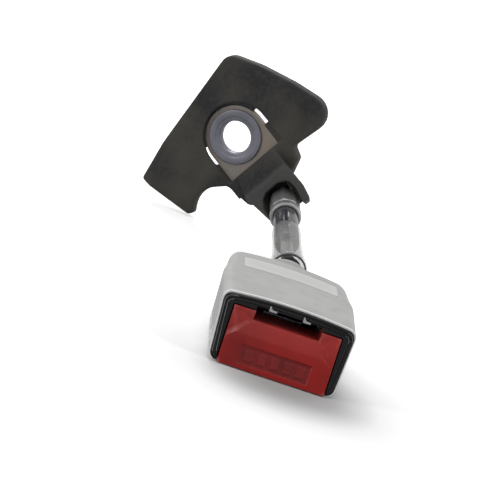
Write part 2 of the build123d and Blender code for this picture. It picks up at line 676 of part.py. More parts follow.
with BuildPart() as latch:
    arm_range = (LATCH_PIVOT_Z - LATCH_PLATE / 2, LATCH_PIVOT_Z + LATCH_PLATE / 2)
    cross_rod(LATCH_HUB_RADIUS, (-LATCH_HUB_WIDTH / 2, LATCH_HUB_WIDTH / 2), LATCH_PIVOT_Y, LATCH_PIVOT_Z)
    block((-LATCH_WIDTH / 2, LATCH_WIDTH / 2), (PAWL_FRONT, LATCH_PIVOT_Y), arm_range)
    pawl_width = (-LATCH_WIDTH / 2, LATCH_WIDTH / 2)
    block(pawl_width, (PAWL_FRONT, PAWL_FRONT + PAWL_LENGTH), (arm_range[0], PAWL_TOP))
    fillet(latch.edges().filter_by(Axis.X).group_by(Axis.Z)[-1], LOCK_THICKNESS / 4)
    cross_rod(LATCH_PIN_RADIUS + RUNNING_GAP, (-WIDE, WIDE), LATCH_PIVOT_Y, LATCH_PIVOT_Z, Mode.SUBTRACT)

lock_half = LOCK_WIDTH / 2
with BuildPart() as lock_slider:
    block(
        (-lock_half, lock_half),
        (LOCK_FRONT, LOCK_FRONT + LOCK_BRIDGE),
        (LOCK_BASE, LOCK_PIN_HEIGHT + LOCK_PIN_RADIUS + LOCK_CROWN),
    )
    leg_width = (lock_half - LOCK_LEG_WIDTH, lock_half)
    mirrored_blocks(leg_width, (LOCK_FRONT, LOCK_LEG_END), (LOCK_BASE, LOCK_BASE + LOCK_THICKNESS))
    cross_rod(LOCK_PIN_RADIUS, (-WIDE, WIDE), LOCK_PIN_Y, LOCK_PIN_HEIGHT, Mode.SUBTRACT)

with BuildPart() as lock_pin:
    cross_rod(LOCK_PIN_RADIUS, (-BUTTON_RIB_OUTER, BUTTON_RIB_OUTER), LOCK_PIN_Y, LOCK_PIN_HEIGHT)
    chamfer(lock_pin.edges().filter_by(GeomType.CIRCLE), LOCK_PIN_RADIUS / 4)

with BuildPart() as ejector:
    block((-EJECTOR_WIDTH / 2, EJECTOR_WIDTH / 2), (EJECTOR_FRONT, EJECTOR_BACK), (EJECTOR_BASE, EJECTOR_TOP))
    fillet(ejector.edges().filter_by(Axis.Z), BUTTON_EDGE)

# ---------------------------------------------------------------- springs
with BuildPart() as ejector_spring:
    coil(
        EJECTOR_SPRING_WIRE,
        EJECTOR_SPRING_TURNS,
        EJECTOR_SPRING_RADIUS,
        HEAD + Vector(0, EJECTOR_BACK, (EJECTOR_BASE + EJECTOR_TOP) / 2),
        Vector(0, 1, 0),
        FRAME_REAR - FRAME_SEAT_LENGTH - EJECTOR_BACK,
    )

with BuildPart() as latch_spring:
    coil(
        LATCH_SPRING_WIRE,
        LATCH_SPRING_TURNS,
        LATCH_SPRING_RADIUS,
        HEAD + Vector(0, LATCH_SPRING_Y, LATCH_SPRING_BASE),
        Vector(0, 0, 1),
        LATCH_PIVOT_Z - LATCH_PLATE / 2 - LATCH_SPRING_BASE,
    )

with BuildPart() as button_spring_left:
    coil(
        BUTTON_SPRING_WIRE,
        BUTTON_SPRING_TURNS,
        BUTTON_SPRING_RADIUS,
        HEAD + Vector(-BUTTON_SPRING_X, BUTTON_SPRING_START, BUTTON_SPRING_Z),
        Vector(0, 1, 0),
        BUTTON_SPRING_END - BUTTON_SPRING_START,
    )

with BuildPart() as button_spring_right:
    coil(
        BUTTON_SPRING_WIRE,
        BUTTON_SPRING_TURNS,
        BUTTON_SPRING_RADIUS,
        HEAD + Vector(BUTTON_SPRING_X, BUTTON_SPRING_START, BUTTON_SPRING_Z),
        Vector(0, 1, 0),
        BUTTON_SPRING_END - BUTTON_SPRING_START,
    )

# ---------------------------------------------------------------- rope, its socket and its guide
rope_points = (
    HEAD + Vector(0, ROPE_START, ROPE_AXIS_HEIGHT),
    HEAD + Vector(0, ROPE_BEND, ROPE_AXIS_HEIGHT),
    STALK_FOOT - STALK_ALONG * ROPE_BEND_LEAD,
    STALK_FOOT + STALK_ALONG * ROPE_END,
)
rope_runs = [second - first for first, second in zip(rope_points, rope_points[1:])]
rope_radii = []
for arriving, leaving in zip(rope_runs, rope_runs[1:]):
    half_turn = radians(arriving.get_angle(leaving)) / 2
    rope_radii.append(BEND_SHARE * min(arriving.length, leaving.length) / tan(half_turn))

with BuildPart() as wire_rope:
    with BuildLine() as rope_path:
        FilletPolyline(*rope_points, radius=rope_radii)
    with BuildSketch(Plane(rope_points[0], z_dir=(0, 1, 0))):
        Circle(ROPE_RADIUS)
    sweep()
rope_length = rope_path.wires()[0].length
print("rope bend radii", [round(radius, 1) for radius in rope_radii], "length", round(rope_length, 1))
print("rope volume ratio", round(wire_rope.part.volume / (rope_length * pi * ROPE_RADIUS**2), 4))

with BuildPart() as rope_socket:
    eye_start = SOCKET_EYE_Y - SOCKET_EYE_LENGTH / 2
    eye_half = SOCKET_EYE_WIDTH / 2
    eye_range = (ROPE_AXIS_HEIGHT - SOCKET_RADIUS, ROPE_AXIS_HEIGHT + SOCKET_RADIUS)
    block((-eye_half, eye_half), (eye_start, eye_start + SOCKET_EYE_LENGTH), eye_range)
    fillet(rope_socket.edges().filter_by(Axis.X), BUTTON_EDGE)
    socket_end = eye_start + SOCKET_EYE_LENGTH + SOCKET_LENGTH
    turned_on(
        ROPE_PROFILE,
        ROPE_LINE,
        (
            (0, eye_start + SOCKET_EYE_LENGTH),
            (SOCKET_RADIUS, eye_start + SOCKET_EYE_LENGTH),
            (SOCKET_RADIUS, socket_end),
            (0, socket_end),
        ),
    )
    turned_on(
        ROPE_PROFILE,
        ROPE_LINE,
        ((0, ROPE_START), (ROPE_RADIUS, ROPE_START), (ROPE_RADIUS, WIDE), (0, WIDE)),
        Mode.SUBTRACT,
    )
    cross_rod(SOCKET_PIN_RADIUS, (-WIDE, WIDE), SOCKET_EYE_Y, ROPE_AXIS_HEIGHT, Mode.SUBTRACT)

with BuildPart() as cable_grommet:
    grommet_bore = ROPE_RADIUS + GROMMET_CLEARANCE
    turned_on(
        ROPE_PROFILE,
        ROPE_LINE,
        (
            (grommet_bore, GROMMET_START),
            (GROMMET_RADIUS, GROMMET_START),
            (GROMMET_RADIUS, GROMMET_RIB_START),
            (GROMMET_RIB_RADIUS, GROMMET_RIB_START),
            (GROMMET_RIB_RADIUS, rib_end),
            (GROMMET_RADIUS, rib_end),
            (GROMMET_RADIUS, NECK_END),
            (GROMMET_TIP_RADIUS, NECK_END + GROMMET_TIP_LENGTH),
            (grommet_bore, NECK_END + GROMMET_TIP_LENGTH),
        ),
    )

# ---------------------------------------------------------------- stalk
with BuildPart() as stalk_sleeve:
    tube(SLEEVE_RADIUS - SLEEVE_WALL, SLEEVE_RADIUS, SLEEVE_START, COLLAR_START + SLEEVE_GRIP)

mouth_bore = BOOT_MOUTH_RADIUS - BOOT_WALL
tail_bore = BOOT_RADIUS - BOOT_WALL
with BuildPart() as sleeve_boot:
    turned(
        (
            (mouth_bore, 0),
            (BOOT_MOUTH_RADIUS, 0),
            (BOOT_RADIUS, BOOT_FLARE_LENGTH),
            (BOOT_RADIUS, BOOT_LENGTH),
            (tail_bore, BOOT_LENGTH),
            (tail_bore, BOOT_FLARE_LENGTH),
        )
    )

with BuildPart() as boot_rim:
    tube(mouth_bore, mouth_bore + BOOT_RIM_WIDTH, -BOOT_RIM_LENGTH, 0)

flare_slope = (BOOT_MOUTH_RADIUS - BOOT_RADIUS) / BOOT_FLARE_LENGTH
seal_end = BOOT_SEAL_START + BOOT_SEAL_LENGTH
with BuildPart() as boot_seal:
    turned(
        (
            (ROPE_RADIUS, BOOT_SEAL_START),
            (mouth_bore - flare_slope * BOOT_SEAL_START, BOOT_SEAL_START),
            (mouth_bore - flare_slope * seal_end, seal_end),
            (ROPE_RADIUS, seal_end),
        )
    )

# ---------------------------------------------------------------- anchor
with BuildPart() as anchor_bracket:
    hole_half = BRACKET_WIDTH / 2
    with BuildSketch(strip_plane(-BRACKET_GAUGE / 2)) as strip_outline:
        with BuildLine():
            ThreePointArc((0, hole_half), (-hole_half, 0), (0, -hole_half))
            Polyline(
                (0, -hole_half),
                (STRIP_SHOULDER, -hole_half),
                (BEND_START, TAB_OFFSET - TAB_WIDTH / 2),
                (BEND_START, TAB_OFFSET + TAB_WIDTH / 2),
                (STRIP_SHOULDER, hole_half),
                (0, hole_half),
            )
        make_face()
        Circle(BUSH_RADIUS, mode=Mode.SUBTRACT)
    extrude(amount=BRACKET_GAUGE)
    with BuildSketch(strip_side(TAB_OFFSET)) as tab_outline:
        with BuildLine() as tab_line:
            bend_arc = JernArc((BEND_START, 0), (1, 0), BEND_RADIUS, BEND_ANGLE)
            PolarLine(bend_arc @ 1, TAB_RUN + TAB_REACH, direction=bend_arc % 1)
        trace(line_width=BRACKET_GAUGE)
    extrude(amount=TAB_WIDTH / 2, both=True)

with BuildPart() as anchor_ferrule:
    with BuildSketch(stalk_plane(FERRULE_START)) as flats:
        RegularPolygon(FERRULE_FLATS / 2, FERRULE_SIDES, major_radius=False, rotation=FERRULE_ROLL)
    extrude(amount=FERRULE_LENGTH)
    chamfer(anchor_ferrule.edges().group_by(Axis.Y)[-1], FERRULE_EDGE)
    tube(0, FERRULE_COLLAR_RADIUS, COLLAR_START, FERRULE_START)
    rope_bore = ((0, COLLAR_START), (ROPE_RADIUS, COLLAR_START), (ROPE_RADIUS, ROPE_END), (0, ROPE_END))
    turned(rope_bore, Mode.SUBTRACT)
    turned(
        (
            (0, COLLAR_START),
            (SLEEVE_RADIUS, COLLAR_START),
            (SLEEVE_RADIUS, COLLAR_START + SLEEVE_GRIP),
            (0, COLLAR_START + SLEEVE_GRIP),
        ),
        Mode.SUBTRACT,
    )
    add(anchor_bracket.part, mode=Mode.SUBTRACT)

with BuildPart() as anchor_bush:
    with BuildSketch(anchor_plane(-BUSH_LENGTH / 2)) as bush_ring:
        Circle(BUSH_RADIUS)
    extrude(amount=BUSH_LENGTH)
    with BuildSketch(anchor_plane(BRACKET_GAUGE / 2)) as bush_flange:
        Circle(BUSH_FLANGE_RADIUS)
    extrude(amount=BUSH_FLANGE)
    with BuildSketch(anchor_plane(-BUSH_LENGTH)) as bolt_hole:
        Circle(BOLT_HOLE_RADIUS)
    extrude(amount=2 * BUSH_LENGTH, mode=Mode.SUBTRACT)

# ---------------------------------------------------------------- anchor cover
CAP_OUTLINE = (  # local x, local y and corner radius on the anchor plane
    (-33.1, -33.0, 1.5),
    (-28.7, -35.0, 2.0),
    (-8.2, -39.7, 1.0),
    (-6.1, -38.5, 1.0),
    (-8.0, -27.4, 11.0),
    (4.7, -21.1, 3.0),
    (16.6, -25.2, 1.5),
    (19.6, -22.4, 1.0),
    (29.6, -5.0, 1.0),
    (30.4, 2.8, 1.6),
    (26.5, 7.0, 1.5),
    (41.2, 28.6, 8.3),
    (17.1, 32.7, 30.0),
    (0.5, 34.0, 30.0),
    (-15.3, 33.4, 6.0),
    (-29.4, -14.0, 40.0),
)
CAP_TOP = CAP_FACE + CAP_WALL
CAP_BASE = CAP_FACE - CAP_SKIRT


def cap_outline(height, inset):
    """Outline of the anchor cover on a plane above the anchor plate, moved in by the inset."""
    with BuildSketch(anchor_plane(height)) as outline:
        with BuildLine():
            FilletPolyline(
                *[(x, y) for x, y, _ in CAP_OUTLINE],
                radius=[corner for _, _, corner in CAP_OUTLINE],
                close=True,
            )
        make_face()
        if inset:
            offset(amount=-inset)
    return outline.sketch


hood_top = CAP_FACE + HOOD_HEIGHT
hood_lean_shift = HOOD_HEIGHT * tan(radians(HOOD_LEAN))
hood_side = Plane(
    STRIP_ACROSS * HOOD_RIGHT + ANCHOR_NORMAL * hood_top,
    x_dir=STRIP_ALONG,
    z_dir=STRIP_ACROSS * cos(radians(HOOD_LEAN)) - ANCHOR_NORMAL * sin(radians(HOOD_LEAN)),
)
with BuildPart() as hood_ramp:
    with BuildSketch(strip_side(HOOD_LEFT)) as ramp_outline:
        with BuildLine():
            Polyline(
                (WINDOW_END, CAP_FACE),
                (WINDOW_END, CAP_TOP),
                (HOOD_START, hood_top),
                (HOOD_BAR_END, hood_top),
                (HOOD_BAR_END, CAP_FACE),
                close=True,
            )
        make_face()
    extrude(amount=HOOD_LEFT - HOOD_RIGHT)
    split(bisect_by=hood_side, keep=Keep.BOTTOM)

with BuildPart() as anchor_cover:
    extrude(cap_outline(CAP_BASE, 0), amount=CAP_TOP - CAP_BASE)
    fillet(anchor_cover.faces().sort_by(Axis((0, 0, 0), ANCHOR_NORMAL))[-1].edges(), CAP_BEVEL)
    extrude(cap_outline(CAP_BASE, CAP_EDGE), amount=CAP_FACE - CAP_BASE, mode=Mode.SUBTRACT)
    hood_run = (HOOD_BAR_END - 2 * CAP_EDGE, HOOD_BAR_END + CAP_EDGE)
    hood_passage = (HOOD_LEFT_WALL[0][1], HOOD_SHELF_RIGHT + CAP_EDGE)
    strip_block(hood_run, hood_passage, (CAP_BASE, CAP_FACE), Mode.SUBTRACT)
    add(hood_ramp.part)
    with BuildSketch(strip_section(HOOD_BAR_END)) as right_wall:
        with BuildLine():
            Polyline(
                (HOOD_RIGHT, hood_top),
                (HOOD_RIGHT - HOOD_WALL, hood_top),
                (HOOD_RIGHT - HOOD_WALL - hood_lean_shift, CAP_FACE),
                (HOOD_RIGHT - hood_lean_shift, CAP_FACE),
                close=True,
            )
        make_face()
    extrude(amount=HOOD_RIGHT_END - HOOD_BAR_END)
    tunnel_half = BRACKET_WIDTH / 2 + FIT_GAP
    strap_base = -BRACKET_GAUGE / 2 - STRAP_WALL
    with BuildSketch(strip_plane(strap_base)) as left_wall:
        with BuildLine():
            Polyline(*HOOD_LEFT_WALL, close=True)
        make_face()
    extrude(amount=hood_top - strap_base)
    shelf_run = (STRAP_END, HOOD_LEFT_WALL[1][0])
    strip_block(shelf_run, (HOOD_LEFT_WALL[1][1], HOOD_SHELF_RIGHT), (strap_base, CAP_BASE))
    collar_radius = WINDOW_RADIUS + WINDOW_LEDGE
    web_left = min(-tunnel_half - STRAP_WALL, WINDOW_CENTRE[1] - collar_radius)
    web_right = max(tunnel_half + STRAP_WALL, WINDOW_CENTRE[1] + collar_radius)
    for web in ((web_left, -tunnel_half), (tunnel_half, web_right)):
        strip_block((STRAP_START, STRAP_END), web, (strap_base, CAP_FACE))
    bridge_run = (STRAP_BRIDGE_START, STRAP_END)
    strip_block(bridge_run, (-tunnel_half, tunnel_half), (strap_base, -BRACKET_GAUGE / 2))
    with BuildSketch(strip_plane(strap_base)) as end_collar:
        with Locations(WINDOW_CENTRE):
            Circle(collar_radius)
        Circle(tunnel_half, mode=Mode.SUBTRACT)
        with Locations((WINDOW_RADIUS * 2 - WINDOW_SLIT_HALF, 0)):
            Rectangle(4 * WINDOW_RADIUS, 4 * WINDOW_RADIUS, mode=Mode.SUBTRACT)
    extrude(amount=CAP_FACE - strap_base)
    with BuildSketch(strip_plane(CAP_FACE)) as window:
        with Locations(WINDOW_CENTRE):
            Circle(WINDOW_RADIUS)
            Rectangle(WINDOW_END, 2 * WINDOW_RADIUS, align=(Align.MIN, Align.CENTER))
        with Locations((WINDOW_END + WINDOW_RADIUS, 0)):
            Rectangle(2 * WINDOW_RADIUS, 4 * WINDOW_RADIUS, mode=Mode.SUBTRACT)
    extrude(amount=CAP_SKIRT, mode=Mode.SUBTRACT)

# ---------------------------------------------------------------- export
PIECES = {
    "upper_cover": upper_cover,
    "lower_cover": lower_cover,
    "label_plate": label_plate,
    "bezel": bezel,
    "slot_clips": slot_clips,
    "press_button": press_button,
    "frame": frame,
    "latch": latch,
    "latch_pin": latch_pin,
    "latch_spring": latch_spring,
    "lock_slider": lock_slider,
    "lock_pin": lock_pin,
    "ejector": ejector,
    "ejector_spring": ejector_spring,
    "button_spring_left": button_spring_left,
    "button_spring_right": button_spring_right,
    "rope_socket": rope_socket,
    "socket_pin": socket_pin,
    "wire_rope": wire_rope,
    "cable_grommet": cable_grommet,
    "stalk_sleeve": stalk_sleeve,
    "sleeve_boot": sleeve_boot,
    "boot_rim": boot_rim,
    "boot_seal": boot_seal,
    "anchor_bracket": anchor_bracket,
    "anchor_ferrule": anchor_ferrule,
    "anchor_bush": anchor_bush,
    "anchor_cover": anchor_cover,
}
os.makedirs("parts", exist_ok=True)
for label, piece in PIECES.items():
    piece.part.label = label
    export_step(piece.part, f"parts/{label}.step")
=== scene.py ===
import math
from contextlib import contextmanager

import bmesh
import bpy
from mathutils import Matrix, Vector


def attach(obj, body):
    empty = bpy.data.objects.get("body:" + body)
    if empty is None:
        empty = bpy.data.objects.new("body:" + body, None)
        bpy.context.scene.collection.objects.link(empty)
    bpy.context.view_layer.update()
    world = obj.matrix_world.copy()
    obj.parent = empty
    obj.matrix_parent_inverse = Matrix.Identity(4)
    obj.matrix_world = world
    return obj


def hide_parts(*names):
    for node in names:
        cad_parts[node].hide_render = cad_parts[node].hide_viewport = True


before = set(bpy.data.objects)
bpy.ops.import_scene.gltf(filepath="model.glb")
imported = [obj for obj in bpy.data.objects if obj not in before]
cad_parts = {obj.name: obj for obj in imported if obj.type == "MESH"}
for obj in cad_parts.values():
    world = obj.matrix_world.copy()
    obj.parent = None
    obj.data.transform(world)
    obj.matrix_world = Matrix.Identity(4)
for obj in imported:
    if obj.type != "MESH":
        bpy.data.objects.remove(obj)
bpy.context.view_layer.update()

# ---------------- units and axes
MM = 0.001
X = Vector((1, 0, 0))
Y = Vector((0, 1, 0))
UP = Vector((0, 0, 1))

# ---------------- head (mm)
HEAD = Vector((28.5, -187.0, -40.6))  # centre line, top front edge and base plane
TOP_HALF, BASE_HALF, HEIGHT, LENGTH = 27.5, 25.7, 28.0, 68.5
TOP_DROP, CROWN = 0.8, 1.5
TOP_RADIUS, BASE_RADIUS = 3.4, 3.6
WALL = 1.4
LEAN_ANGLE = math.radians(17.0)  # the front face leans back
LEAN, LEAN_COS = math.tan(LEAN_ANGLE), math.cos(LEAN_ANGLE)
FACE_NORMAL = Vector((0, -LEAN_COS, math.sin(LEAN_ANGLE)))
FACE_REACH = FACE_NORMAL.dot(HEAD + UP * HEIGHT)
BUTTON_HALF = 21.9
MOUTH_HALF = BUTTON_HALF + 0.4

# ---------------- anchor, about the bolt hole
YAW = math.radians(20.0)  # turn of the anchor's plane
STRIP = math.radians(-29.5)  # slope of the bracket's strip
RIGHT = Vector((math.cos(YAW), -math.sin(YAW), 0))
NORMAL = Vector((-math.sin(YAW), -math.cos(YAW), 0))
ALONG = RIGHT * math.cos(STRIP) + UP * math.sin(STRIP)
ACROSS = NORMAL.cross(ALONG)

# ---------------- rope and stalk (mm)
ROPE_HEIGHT = 13.9
MOUTH = HEAD + Vector((3.5, 100.0, 14.7))  # centre of the boot's mouth
STALK_END = HEAD + Vector((-0.9, 171.3, 24.4))
STALK = (STALK_END - MOUTH).normalized()
STALK_SIDE = STALK.cross(UP).normalized()
STALK_UP = STALK_SIDE.cross(STALK)
STALK_LENGTH = (STALK_END - MOUTH).length
FERRULE_START = STALK_LENGTH - 13.6
COLLAR_START = FERRULE_START - 5.4


def head(x, y, z):
    """Point on the head: right, back and up from its origin."""
    return (HEAD + Vector((x, y, z))) * MM


def anchor(u, w, n):
    """Point on the anchor's plane: right, up and out of it."""
    return (RIGHT * u + UP * w + NORMAL * n) * MM


def strip(s, t, n):
    """Point on the anchor's plane: along and across the bracket's strip, and out of it."""
    return (ALONG * s + ACROSS * t + NORMAL * n) * MM


def stalk(r, a, reach):
    """Point about the stalk's axis."""
    return (MOUTH + STALK * reach + STALK_SIDE * (r * math.cos(a)) + STALK_UP * (r * math.sin(a))) * MM


def rope(r, a, y):
    """Point about the rope's axis inside the head."""
    return head(r * math.cos(a), y, ROPE_HEIGHT + r * math.sin(a))


def bolt(r, a, n):
    """Point about the bolt's axis."""
    return anchor(r * math.cos(a), r * math.sin(a), n)


def lean_at(z, proud=0.0):
    """How far the leaning face stands back at a height."""
    return -(HEIGHT - z) * LEAN - proud / LEAN_COS


def on_face(proud):
    """Layer parallel to the leaning face."""
    return lambda x, z: head(x, lean_at(z, proud), z)


def on_base(z):
    """Layer parallel to the head's base."""
    return lambda x, y: head(x, y, z)


def on_anchor(n):
    """Layer parallel to the anchor's plane, placed by right and up."""
    return lambda u, w: anchor(u, w, n)


def on_strip(n):
    """Layer parallel to the anchor's plane, placed along and across the strip."""
    return lambda s, t: strip(s, t, n)


# ---------------- camera
PICTURE = 500  # pixels on each side
SENSOR = 36.0
CAM_PITCH = math.radians(14.9)
CAM_YAW = math.radians(-5.2)
CAM_ROLL = math.radians(19.8)
CAM_DISTANCE = 1450.0
CAM_SCALE = 2.57  # pixels per millimetre at the head
CAM_AIM = (269.4, 372.0)  # pixel that the head's origin falls on
CAM_CLIP = (0.05, 20.0)


def place_camera():
    """Camera that looks down on the head, rolled about its own axis."""
    level = Vector((math.cos(CAM_YAW), math.sin(CAM_YAW), 0))
    flat = Vector((-math.sin(CAM_YAW), math.cos(CAM_YAW), 0))
    forward = flat * math.cos(CAM_PITCH) - UP * math.sin(CAM_PITCH)
    upright = level.cross(forward)
    right = level * math.cos(CAM_ROLL) + upright * math.sin(CAM_ROLL)
    up = upright * math.cos(CAM_ROLL) - level * math.sin(CAM_ROLL)
    shift_right = (CAM_AIM[0] - PICTURE / 2) / CAM_SCALE
    shift_up = -(CAM_AIM[1] - PICTURE / 2) / CAM_SCALE
    place = HEAD - forward * CAM_DISTANCE - right * shift_right - up * shift_up
    data = bpy.data.cameras.new("camera")
    data.sensor_width = SENSOR
    data.lens = CAM_SCALE * CAM_DISTANCE / PICTURE * SENSOR
    data.clip_start, data.clip_end = CAM_CLIP
    camera = bpy.data.objects.new("camera", data)
    bpy.context.collection.objects.link(camera)
    matrix = camera.matrix_world.copy()
    for row in range(3):
        matrix[row] = (right[row], up[row], -forward[row], place[row] * MM)
    camera.matrix_world = matrix
    bpy.context.scene.camera = camera


place_camera()
bpy.context.scene.view_settings.view_transform = "Standard"


# ---------------- node trees
class Tree:
    """A short way to build the nodes of a material or of the world."""

    def __init__(self, owner):
        owner.use_nodes = True
        self.tree = owner.node_tree
        self.tree.nodes.clear()

    def add(self, kind, **settings):
        node = self.tree.nodes.new(kind)
        for key, value in settings.items():
            setattr(node, key, value)
        return node

    def link(self, source, socket):
        self.tree.links.new(source, socket)

    def span(self, value, low, high, first, last):
        """Value carried from one range, in millimetres, to another."""
        node = self.add("ShaderNodeMapRange")
        for socket, number in zip(node.inputs[1:5], (low * MM, high * MM, first, last)):
            socket.default_value = number
        self.link(value, node.inputs[0])
        return node.outputs[0]

    def measured(self, operation, place):
        """Dot product with a direction, or distance from a place, of the object coordinates."""
        node = self.add("ShaderNodeVectorMath", operation=operation)
        node.inputs[1].default_value = place
        self.link(self.add("ShaderNodeTexCoord").outputs["Object"], node.inputs[0])
        return node.outputs["Value"]


class Surface(Tree):
    """Nodes of one material, around a principled shader."""

    GLOSS_NOISE = (0.4, 4.0)  # scale and detail of the uneven gloss
    GRAIN_DEPTH = 0.05

    def __init__(self, name):
        self.material = bpy.data.materials.new(name)
        super().__init__(self.material)
        self.shader = self.add("ShaderNodeBsdfPrincipled")
        self.link(self.shader.outputs[0], self.add("ShaderNodeOutputMaterial").inputs[0])
        self.coords = self.add("ShaderNodeTexCoord").outputs["Object"]

    def noise(self, scale, detail=3.0, stretch=None):
        """Noise value, with its scale in cycles per millimetre."""
        node = self.add("ShaderNodeTexNoise")
        node.inputs["Scale"].default_value = scale / MM
        node.inputs["Detail"].default_value = detail
        source = self.coords
        if stretch:
            mapping = self.add("ShaderNodeMapping")
            mapping.inputs["Scale"].default_value = stretch
            self.link(source, mapping.inputs["Vector"])
            source = mapping.outputs[0]
        self.link(source, node.inputs["Vector"])
        return node.outputs["Fac"]

    def ramp(self, value, low, high, start=0.35, end=0.65):
        """Ramp between two colours, or two greys."""
        node = self.add("ShaderNodeValToRGB")
        elements = node.color_ramp.elements
        elements[0].position = start
        elements[1].position = end
        for element, colour in zip(elements, (low, high)):
            if isinstance(colour, (int, float)):
                colour = (colour, colour, colour)
            element.color = (*colour, 1)
        self.link(value, node.inputs[0])
        return node.outputs[0]

    def mix(self, factor, under, colour):
        """Colour laid over another by a factor."""
        node = self.add("ShaderNodeMix", data_type="RGBA")
        share, first, second = (node.inputs[k] for k in (0, 6, 7))
        self.link(factor, share)
        self.link(under, first)
        second.default_value = (*colour, 1)
        return node.outputs[2]

    def patched(self, base, colour, scale, amount, start, end, detail=6.0):
        """Colour laid over the base in patches of noise."""
        return self.mix(self.ramp(self.noise(scale, detail), 0.0, amount, start, end), base, colour)

    def edge_wear_and_highlight(self, base, colour, amount, start, end):
        """Colour laid over the base along the outer edges, for wear and for painted highlights."""
        edge = self.add("ShaderNodeNewGeometry").outputs["Pointiness"]
        return self.mix(self.ramp(edge, 0.0, amount, start, end), base, colour)

    def part_of(self, vector, axis):
        """One axis of a vector."""
        node = self.add("ShaderNodeSeparateXYZ")
        self.link(vector, node.inputs[0])
        return node.outputs[axis]

    def bump(self, value, strength, distance):
        node = self.add("ShaderNodeBump")
        node.inputs["Strength"].default_value = strength
        node.inputs["Distance"].default_value = distance * MM
        self.link(value, node.inputs["Height"])
        self.link(node.outputs[0], self.shader.inputs["Normal"])

    def coat(self, base, rough):
        self.link(base, self.shader.inputs["Base Color"])
        self.link(rough, self.shader.inputs["Roughness"])

    def moulded(self, base, rough, specular, grain, strength, detail=2.0):
        """Moulded surface over a base colour: uneven gloss and a fine grain."""
        self.coat(base, self.ramp(self.noise(*self.GLOSS_NOISE), *rough))
        self.shader.inputs["Specular IOR Level"].default_value = specular
        self.bump(self.noise(grain, detail), strength, self.GRAIN_DEPTH)
        return self.material


# ---------------- materials
BLOTCHES = 0.05  # cycles per millimetre of the slow change in colour


def scaled(colour, factor):
    return tuple(min(1.0, c * factor) for c in colour)


def plastic(name, colour, rough, grain=2.5, strength=0.15, vary=0.06, specular=0.5, edge_tint=1.35):
    """Moulded plastic: fine grain, slow colour variation, slightly worn edges; a high edge_tint makes the
    edges a painted highlight.
    """
    n = Surface(name)
    base = n.ramp(n.noise(BLOTCHES), scaled(colour, 1 - vary), scaled(colour, 1 + vary))
    base = n.edge_wear_and_highlight(base, scaled(colour, edge_tint), amount=0.25, start=0.51, end=0.60)
    return n.moulded(base, (rough - 0.05, rough + 0.07), specular, grain, strength)


def cover_material():
    """Light grey satin plastic with faint smudges, and a painted highlight along its front lip and edges."""
    lip_highlight_back, lip_highlight_front = FACE_REACH - 1.15, FACE_REACH - 0.7
    n = Surface("cover_plastic")
    base = n.ramp(n.noise(BLOTCHES), (0.415, 0.415, 0.41), (0.465, 0.465, 0.46))
    base = n.patched(base, (0.36, 0.36, 0.355), scale=0.16, amount=0.45, start=0.48, end=0.72)
    # Near-white band along the front lip: a painted highlight.
    lip = n.span(n.measured("DOT_PRODUCT", FACE_NORMAL), lip_highlight_back, lip_highlight_front, 0.0, 1.0)
    base = n.mix(lip, base, (0.93, 0.93, 0.92))
    # Pale edges, chiefly the front lip's bevel: a painted highlight.
    base = n.edge_wear_and_highlight(base, (0.80, 0.80, 0.79), amount=0.8, start=0.505, end=0.57)
    return n.moulded(base, (0.50, 0.62), specular=0.06, grain=3.0, strength=0.10)


def cap_material():
    """Black plastic with brown dust, with painted light where it faces up and a painted highlight on the
    hood's rim.
    """
    rim_highlight_start, rim_highlight_end = 11.0, 12.6
    n = Surface("anchor_plastic")
    base = n.ramp(n.noise(BLOTCHES), (0.030, 0.030, 0.031), (0.046, 0.046, 0.046))
    base = n.patched(base, (0.10, 0.088, 0.066), scale=0.045, amount=0.5, start=0.42, end=0.68)
    base = n.patched(base, (0.066, 0.064, 0.060), scale=0.5, amount=0.4, start=0.45, end=0.70)
    # Paler band on the hood's rim: a painted highlight.
    rim = n.span(n.measured("DOT_PRODUCT", NORMAL), rim_highlight_start, rim_highlight_end, 0.0, 0.7)
    base = n.mix(rim, base, (0.088, 0.087, 0.085))
    # Paler where the surface faces up: painted light from above.
    top_light_factor = n.part_of(n.add("ShaderNodeNewGeometry").outputs["Normal"], "Z")
    base = n.mix(n.ramp(top_light_factor, 0.0, 0.6, 0.30, 0.85), base, (0.085, 0.083, 0.080))
    return n.moulded(base, (0.57, 0.69), specular=0.08, grain=2.0, strength=0.25, detail=3.0)


def button_material():
    """Red plastic with a painted sheen on the two shoulders, pale edges of wear and painted highlight, and
    painted shade that deepens the left.
    """
    left, right = HEAD.x - 18.0, HEAD.x + 12.0
    low, high = HEAD.z + 9.0, HEAD.z + 21.0
    n = Surface("button_plastic")
    base = n.ramp(n.noise(0.06, 4.0), (0.195, 0.012, 0.012), (0.285, 0.014, 0.013), 0.3, 0.7)
    # Lighter towards the right and darker on the left: painted side light and shade.
    side_light_mix = n.span(n.part_of(n.coords, "X"), left, right, 0.0, 0.55)
    base = n.mix(side_light_mix, base, (0.36, 0.016, 0.012))
    # Paler pink up on the two shoulders: a painted sheen.
    upper = n.span(n.part_of(n.coords, "Z"), low, high, 0.0, 0.55)
    base = n.mix(upper, base, (0.40, 0.05, 0.045))
    base = n.patched(
        base, (0.17, 0.012, 0.012), scale=0.15, amount=0.25, start=0.45, end=0.7, detail=5.0
    )
    # Pale pink edges: partly wear, partly painted highlight.
    base = n.edge_wear_and_highlight(base, (0.72, 0.25, 0.23), amount=0.7, start=0.506, end=0.575)
    return n.moulded(base, (0.28, 0.42), specular=0.16, grain=3.0, strength=0.12)


